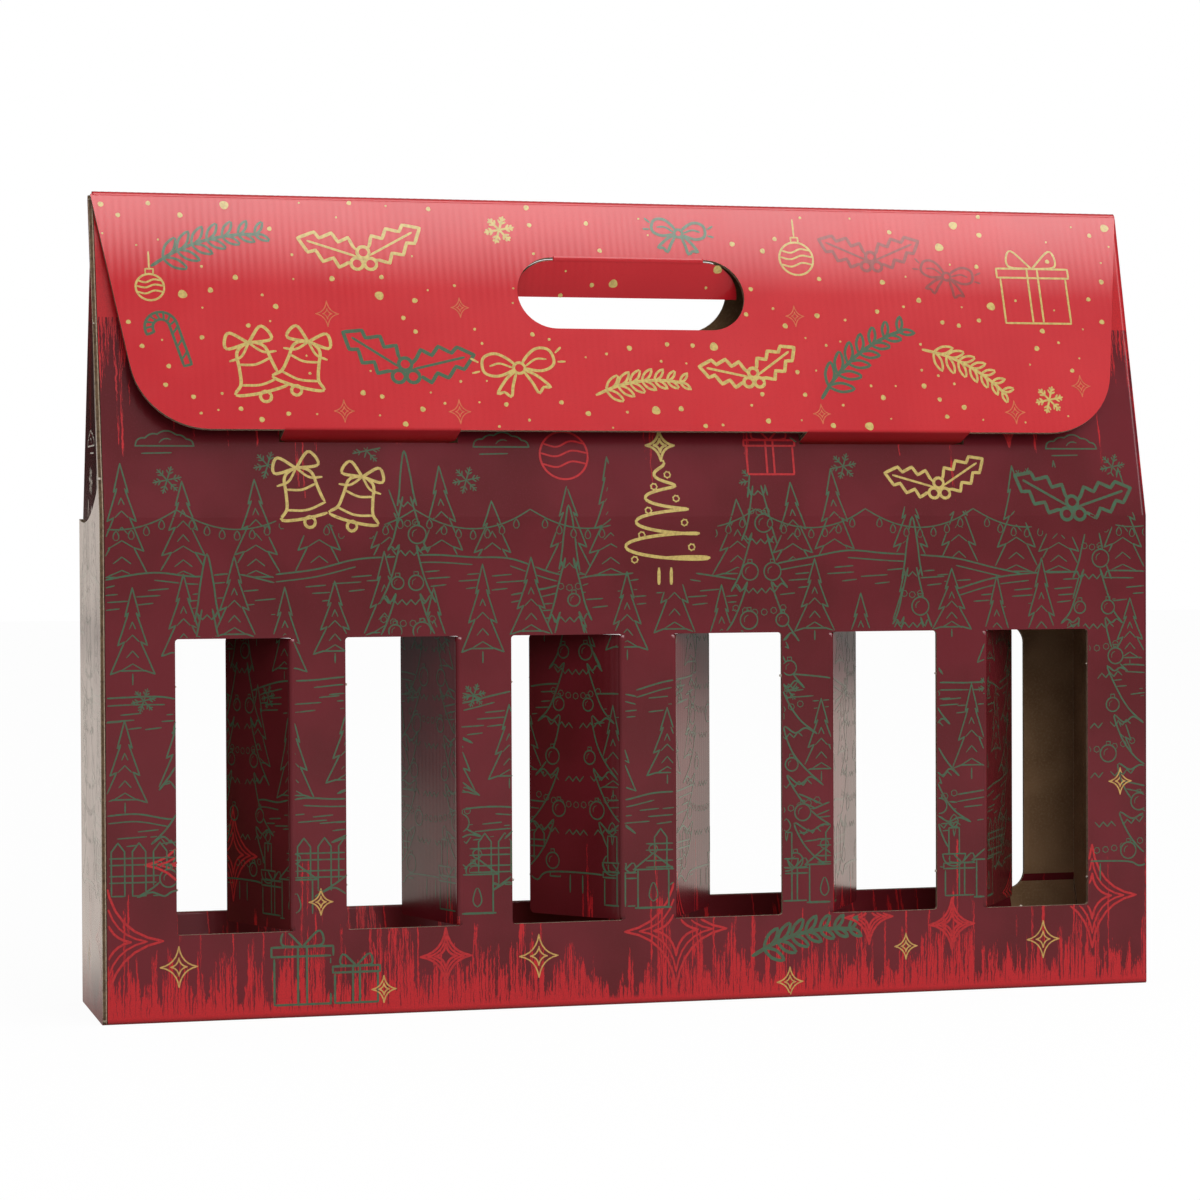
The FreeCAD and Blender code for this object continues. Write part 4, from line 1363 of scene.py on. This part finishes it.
def rolled_strip(profile, skin, span, axis, step, ripple):
    """Closed strip of paper: a profile and its copy a skin further in, swept along an axis.

    profile is an array of (place, outward direction) rows in millimetres. The outer side is moved
    out by ripple sin(2 pi run / flute), and both ends are closed.
    """
    places, outs = profile
    low, high = span
    count = max(int((high - low) / step), 2)
    runs = np.linspace(low, high, count)
    swell = ripple * np.sin(2 * math.pi * runs / FLUTE)[:, None, None]
    shift = runs[:, None, None] * np.asarray(axis, float)
    outer = places + shift + swell * outs
    inner = places - skin * outs + shift
    ring = np.concatenate([outer, inner[:, ::-1]], 1)
    columns = ring.shape[1]
    index = np.arange(count * columns).reshape(count, columns)
    wrap = np.hstack([index, index[:, :1]])
    faces = np.stack([wrap[:-1, :-1], wrap[:-1, 1:], wrap[1:, 1:], wrap[1:, :-1]], -1).reshape(-1, 4)
    half = len(places)
    for row, flip in ((index[0], False), (index[-1], True)):
        front, behind = row[:half], row[half:][::-1]
        cap = np.stack([front[:-1], behind[:-1], behind[1:], front[1:]], 1)
        faces = np.vstack([faces, cap[:, ::-1] if flip else cap])
    return ring.reshape(-1, 3), faces


def flipped_out(vertices, faces):
    """Faces turned so that the closed strip's signed volume is positive."""
    a, b, c, d = [vertices[faces[:, corner]] for corner in range(4)]
    volume = (np.cross(a, b) * c).sum() + (np.cross(a, c) * d).sum()
    return faces if volume > 0 else faces[:, ::-1]


def crease(name, centre, normals, tail, head, span, axis, material, settings,
           step=2.4, ripple=0.0):
    """Rolled crease: flat tail, arc of a board's thickness round the hinge, flat head.

    Both ends dip under the board's face, so that no step shows where the paper is laid on.
    """
    overlap, skin = settings.overlap * 1000, settings.skin * 1000
    out = BOARD + LIFT
    first, last = normals[0], normals[-1]
    sunk = out - 0.35
    places = [centre + sunk * first + tail * overlap, centre + out * first + tail * overlap / 2]
    outs = [first, first]
    places += [centre + out * normal for normal in normals]
    outs += list(normals)
    places += [centre + out * last + head * overlap / 2, centre + sunk * last + head * overlap]
    outs += [last, last]
    vertices, faces = rolled_strip((np.array(places), np.array(outs)), skin, span, axis, step, ripple)
    piece = mesh_piece(name, vertices, flipped_out(vertices, faces), None, material)
    start, end = [tuple((centre + out * normal) / 1000) for normal in (first, last)]
    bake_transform(piece)
    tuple(start)
    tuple(end)
    return piece


def fan(flush, body, count):
    """Directions from a flap's flush face to its folded one, at even angles."""
    return [swung(flush, body, turn) for turn in np.linspace(0, folded(body), count)]


class CARRIER_OT_creases(bpy.types.Operator):
    """Roll the printed paper round the ridge, the dividers' creases and the hand hole's crease"""
    bl_idname = "carrier.creases"
    bl_label = "Creases"

    def execute(self, context):
        settings = context.scene.carrier_creases
        for number in range(1, 7):
            body = divider(number)
            away = np.array([1.0 if JOINTS[body]["axis"][2] < 0 else -1.0, 0.0, 0.0])
            crease("divider_%d_crease" % number, hinge_place(body) * (1, 1, 0),
                   fan(FRONT_OUT, body, 9), away, swung(-away, body, folded(body)),
                   (SILL + 0.5, WINDOW_TOP - 0.5), (0, 0, 1),
                   film_material("divider crease %d film" % number, (1.0, 1.0, 0.0)), settings)
        turns = np.linspace(BACK_SLOPE, math.pi - LID_LEAN, 14)
        crease("ridge_crease", RIDGE,
               [np.array([0, math.cos(turn), math.sin(turn)]) for turn in turns],
               np.array([0, math.sin(BACK_SLOPE), -math.cos(BACK_SLOPE)]), LID_DOWN,
               RIDGE_SPAN, ACROSS,
               film_material("ridge crease film", ACROSS, lid=True), settings,
               step=0.85, ripple=0.035)
        crease("handle_flap_crease", hinge_place("handle_flap") * (0, 1, 1), fan(LID_OUT, "handle_flap", 7),
               -LID_DOWN, swung(LID_DOWN, "handle_flap", folded("handle_flap")), GRIP_SPAN, ACROSS,
               film_material("handle crease film", ACROSS, lid=True),
               settings, step=0.85, ripple=0.03)
        return {"FINISHED"}


def paper_stub(place, size, seed):
    """Torn stub of paper: a ball r(u, v) made uneven by sines, squashed to the board's thickness."""
    u, v = np.meshgrid(np.linspace(0, math.pi, 9), np.linspace(0, 2 * math.pi, 13)[:-1], indexing="ij")
    radius = 1 + 0.28 * np.sin(3 * v + seed) * np.sin(u) + 0.2 * np.sin(5 * u + 2 * seed)
    ball = np.stack([0.9 * radius * np.sin(u) * np.cos(v), 0.7 * radius * np.sin(u) * np.sin(v),
                     0.8 * radius * np.cos(u)], -1) * size + place
    return ball


class CARRIER_OT_nicks(bpy.types.Operator):
    """Add the small stubs of paper that the die's bridges leave on the cut edges"""
    bl_idname = "carrier.nicks"
    bl_label = "Nicks"

    def execute(self, context):
        size = context.scene.carrier_creases.nick * 1000 / 2
        fibre = fibre_material("torn paper")
        middle = BOARD / 2 - HALF_DEPTH
        left, right = FIRST_WINDOW + 0.2, FIRST_WINDOW + WINDOW_WIDTH - 0.2
        spots = [(right + 5 * PITCH, middle, level) for level in (156.6, 52.9)]
        spots += [(0.4 - HALF_WIDTH, -37.9, 246.0), (0.4 - HALF_WIDTH, -20.5, 317.0),
                  (FIRST_WINDOW + 5 * PITCH + 19.0, middle, SILL + 0.2)]
        spots += [(edge + index * PITCH, middle, level)
                  for edge, windows, levels in ((right, (3, 4), (153.0, 58.0)),
                                                (left, (0, 1, 2), (152.0, 60.0)))
                  for index in windows for level in levels]
        places = {"carton": spots}
        for number in range(1, 7):
            body = divider(number)
            hung_right = JOINTS[body]["axis"][2] < 0
            free = FIRST_WINDOW + (number - 1) * PITCH + (0.0 if hung_right else WINDOW_WIDTH)
            flat = np.array([[free, 152.0], [free, 58.0]])
            places[body] = folded_sheet(body, front_sheet)(flat, -BOARD / 2)
        for body, spots in places.items():
            vertices, faces = [], []
            for index, place in enumerate(spots):
                ball = paper_stub(np.asarray(place), size * (0.8 + 0.3 * (index % 3)), index + len(body))
                rows, columns = ball.shape[:2]
                start = index * rows * columns
                grid = np.arange(rows * columns).reshape(rows, columns)
                wrap = np.hstack([grid, grid[:, :1]]) + start
                quads = np.stack([wrap[:-1, :-1], wrap[1:, :-1], wrap[1:, 1:], wrap[:-1, 1:]], -1)
                vertices.append(ball.reshape(-1, 3))
                faces.append(quads.reshape(-1, 4))
            piece = mesh_piece(body + "_nicks", np.vstack(vertices), np.vstack(faces), body, fibre)
            merge_poles(piece)
        return {"FINISHED"}


def merge_poles(piece):
    """Close the poles of ball grids: points that coincide become one."""
    mesh = bmesh.new()
    mesh.from_mesh(piece.data)
    bmesh.ops.remove_doubles(mesh, verts=mesh.verts, dist=1e-6)
    bmesh.ops.recalc_face_normals(mesh, faces=mesh.faces)
    mesh.to_mesh(piece.data)
    mesh.free()


class CARRIER_OT_stage(bpy.types.Operator):
    """Put up the floor, the lamps, the surround and the camera"""
    bl_idname = "carrier.stage"
    bl_label = "Stage"

    def execute(self, context):
        settings = context.scene.carrier_stage
        scene = context.scene
        scene.view_settings.view_transform = "Standard"
        mesh = bpy.data.meshes.new("floor")
        corners = [(x, y, -0.0002) for x, y in ((-8, -8), (8, -8), (8, 8), (-8, 8))]
        mesh.from_pydata(corners, [], [(0, 1, 2, 3)])
        floor = bpy.data.objects.new("floor", mesh)
        scene.collection.objects.link(floor)
        mesh.materials.append(floor_paint())
        add_lamp("key_lamp", (0.15, -2.1, 1.15), (0, 0, 0.2), 1.5, settings.key).visible_glossy = False
        add_lamp("side_lamp", (2.0, -1.2, 1.3), (0, 0, 0.2), 1.0, settings.side)
        build_surround(scene, settings.sky)
        add_camera(scene, settings.lens)
        return {"FINISHED"}


def add_lamp(name, place, target, size, power):
    """Square area lamp that faces a point."""
    data = bpy.data.lights.new(name, "AREA")
    data.energy = power
    data.size = size
    lamp = bpy.data.objects.new(name, data)
    bpy.context.scene.collection.objects.link(lamp)
    look = np.array(target, float) - place
    back = -unit(*look)
    side = unit(*np.cross((0, 0, 1), back))
    lamp.matrix_world = Matrix(np.column_stack([side, np.cross(back, side), back]).tolist()).to_4x4()
    lamp.location = place
    return lamp


def ray_kinds(web):
    """1 for rays that show in the gloss, and 1 for rays straight from the camera."""
    glossy, through, camera = [web.node("LightPath", out="Is %s Ray" % kind)
                               for kind in ("Glossy", "Transmission", "Camera")]
    return web.most(glossy, through), camera


def build_surround(scene, sky):
    """White for the camera. In the gloss, warm white low down behind the box, bright high in front.

    As a light it is strongest from the front and the right, and weak from behind.
    """
    web = Web(bpy.data.worlds.new("surround"))
    scene.world = web.owner
    x, y, z = web.apart(web.node("TexCoord", out="Generated"))
    shine, camera = ray_kinds(web)
    behind = (web.range(web.math("MULTIPLY_ADD", x, 0.25, y), 0.4, 0.95, smooth=False)
              * web.range(z, 0.015, 0.06, 1.0, 0.0))
    above = (web.range(web.math("MULTIPLY_ADD", x, 0.3, z), 0.68, 1.0, 0.25, 6.0)
             * web.range(y, -0.3, 0.1, 1.0, 0.1))
    light = web.range(y, -0.3, 0.5, 1.0, 0.4) * web.range(x, -0.7, 0.2, 0.45, 1.0) * sky
    level = web.most(behind, above) * shine + light * (1.0 - shine)
    background = web.nodes["Background"].inputs
    web.put(background["Color"], web.mix(shine * (y > 0.0), WHITE, WARM_WHITE))
    web.put(background["Strength"], level * (1.0 - camera) + camera)


def floor_paint():
    """Pale floor: white to the camera, warm white in the gloss, with part of its shading kept."""
    web = paint("floor paint")
    web.shade(Base_Color=(0.45, 0.45, 0.45, 1), Roughness=0.9, Specular_IOR_Level=0.0)
    shine, camera = ray_kinds(web)
    glow = web.node("Emission", web.mix(camera, WARM_WHITE, WHITE), 1.12)
    across, depth, _ = web.apart(web.node("NewGeometry", out="Position"))
    lit = web.range(across, -1.3, -0.85) * web.range(across, 1.7, 3.0, 1.0, 0.0)
    shine = shine * lit * web.range(depth, -0.05, 0.3, 0.15, 1.0)
    web.put(web.nodes["Material Output"].inputs[0],
            web.node("MixShader", web.most(camera, shine) * 0.85, Field(web, web.shader.outputs[0]), glow))
    return web.owner


def add_camera(scene, lens):
    """Camera of the photograph: place, yaw, pitch and roll from the box's own straight edges."""
    yaw, pitch, roll = CAMERA_TURN
    ahead = np.array([math.sin(yaw) * math.cos(pitch), math.cos(yaw) * math.cos(pitch), math.sin(pitch)])
    side = np.array([math.cos(yaw), -math.sin(yaw), 0.0])
    up = np.cross(side, ahead)
    right = side * math.cos(roll) + up * math.sin(roll)
    top = up * math.cos(roll) - side * math.sin(roll)
    data = bpy.data.cameras.new("camera")
    data.lens = lens
    data.sensor_width = 36.0
    camera = bpy.data.objects.new("camera", data)
    scene.collection.objects.link(camera)
    camera.matrix_world = Matrix(np.column_stack([right, top, -ahead]).tolist()).to_4x4()
    camera.location = CAMERA_PLACE
    scene.camera = camera


class CARRIER_PT_panel(bpy.types.Panel):
    """Lists the carrier's pieces and settings"""
    bl_idname = "CARRIER_PT_panel"
    bl_label = "Bottle carrier"
    bl_space_type = "VIEW_3D"
    bl_region_type = "UI"
    bl_category = "Carrier"

    def draw(self, context):
        for operator in PIECES:
            self.layout.operator(operator.bl_idname)
        for settings in (context.scene.carrier_print, context.scene.carrier_creases,
                         context.scene.carrier_stage):
            for name in settings.bl_rna.properties.keys():
                if name not in ("rna_type", "name"):
                    self.layout.prop(settings, name)


PIECES = (CARRIER_OT_board, CARRIER_OT_front_print, CARRIER_OT_back_print, CARRIER_OT_lid_print,
          CARRIER_OT_creases, CARRIER_OT_nicks, CARRIER_OT_stage)
SETTINGS = {"carrier_print": CarrierPrint, "carrier_creases": CarrierCreases,
            "carrier_stage": CarrierStage}


def register():
    """Register the settings, the operators and the panel."""
    for name, kind in SETTINGS.items():
        bpy.utils.register_class(kind)
        setattr(bpy.types.Scene, name, bpy.props.PointerProperty(type=kind))
    for kind in PIECES + (CARRIER_PT_panel,):
        bpy.utils.register_class(kind)


def unregister():
    """Take everything out again, in the opposite order."""
    for kind in reversed(PIECES + (CARRIER_PT_panel,)):
        bpy.utils.unregister_class(kind)
    for name, kind in reversed(list(SETTINGS.items())):
        delattr(bpy.types.Scene, name)
        bpy.utils.unregister_class(kind)


def main():
    """Make every piece in order."""
    register()
    for operator in PIECES:
        getattr(bpy.ops.carrier, operator.bl_idname.split(".")[1])()


if __name__ == "__main__":
    main()
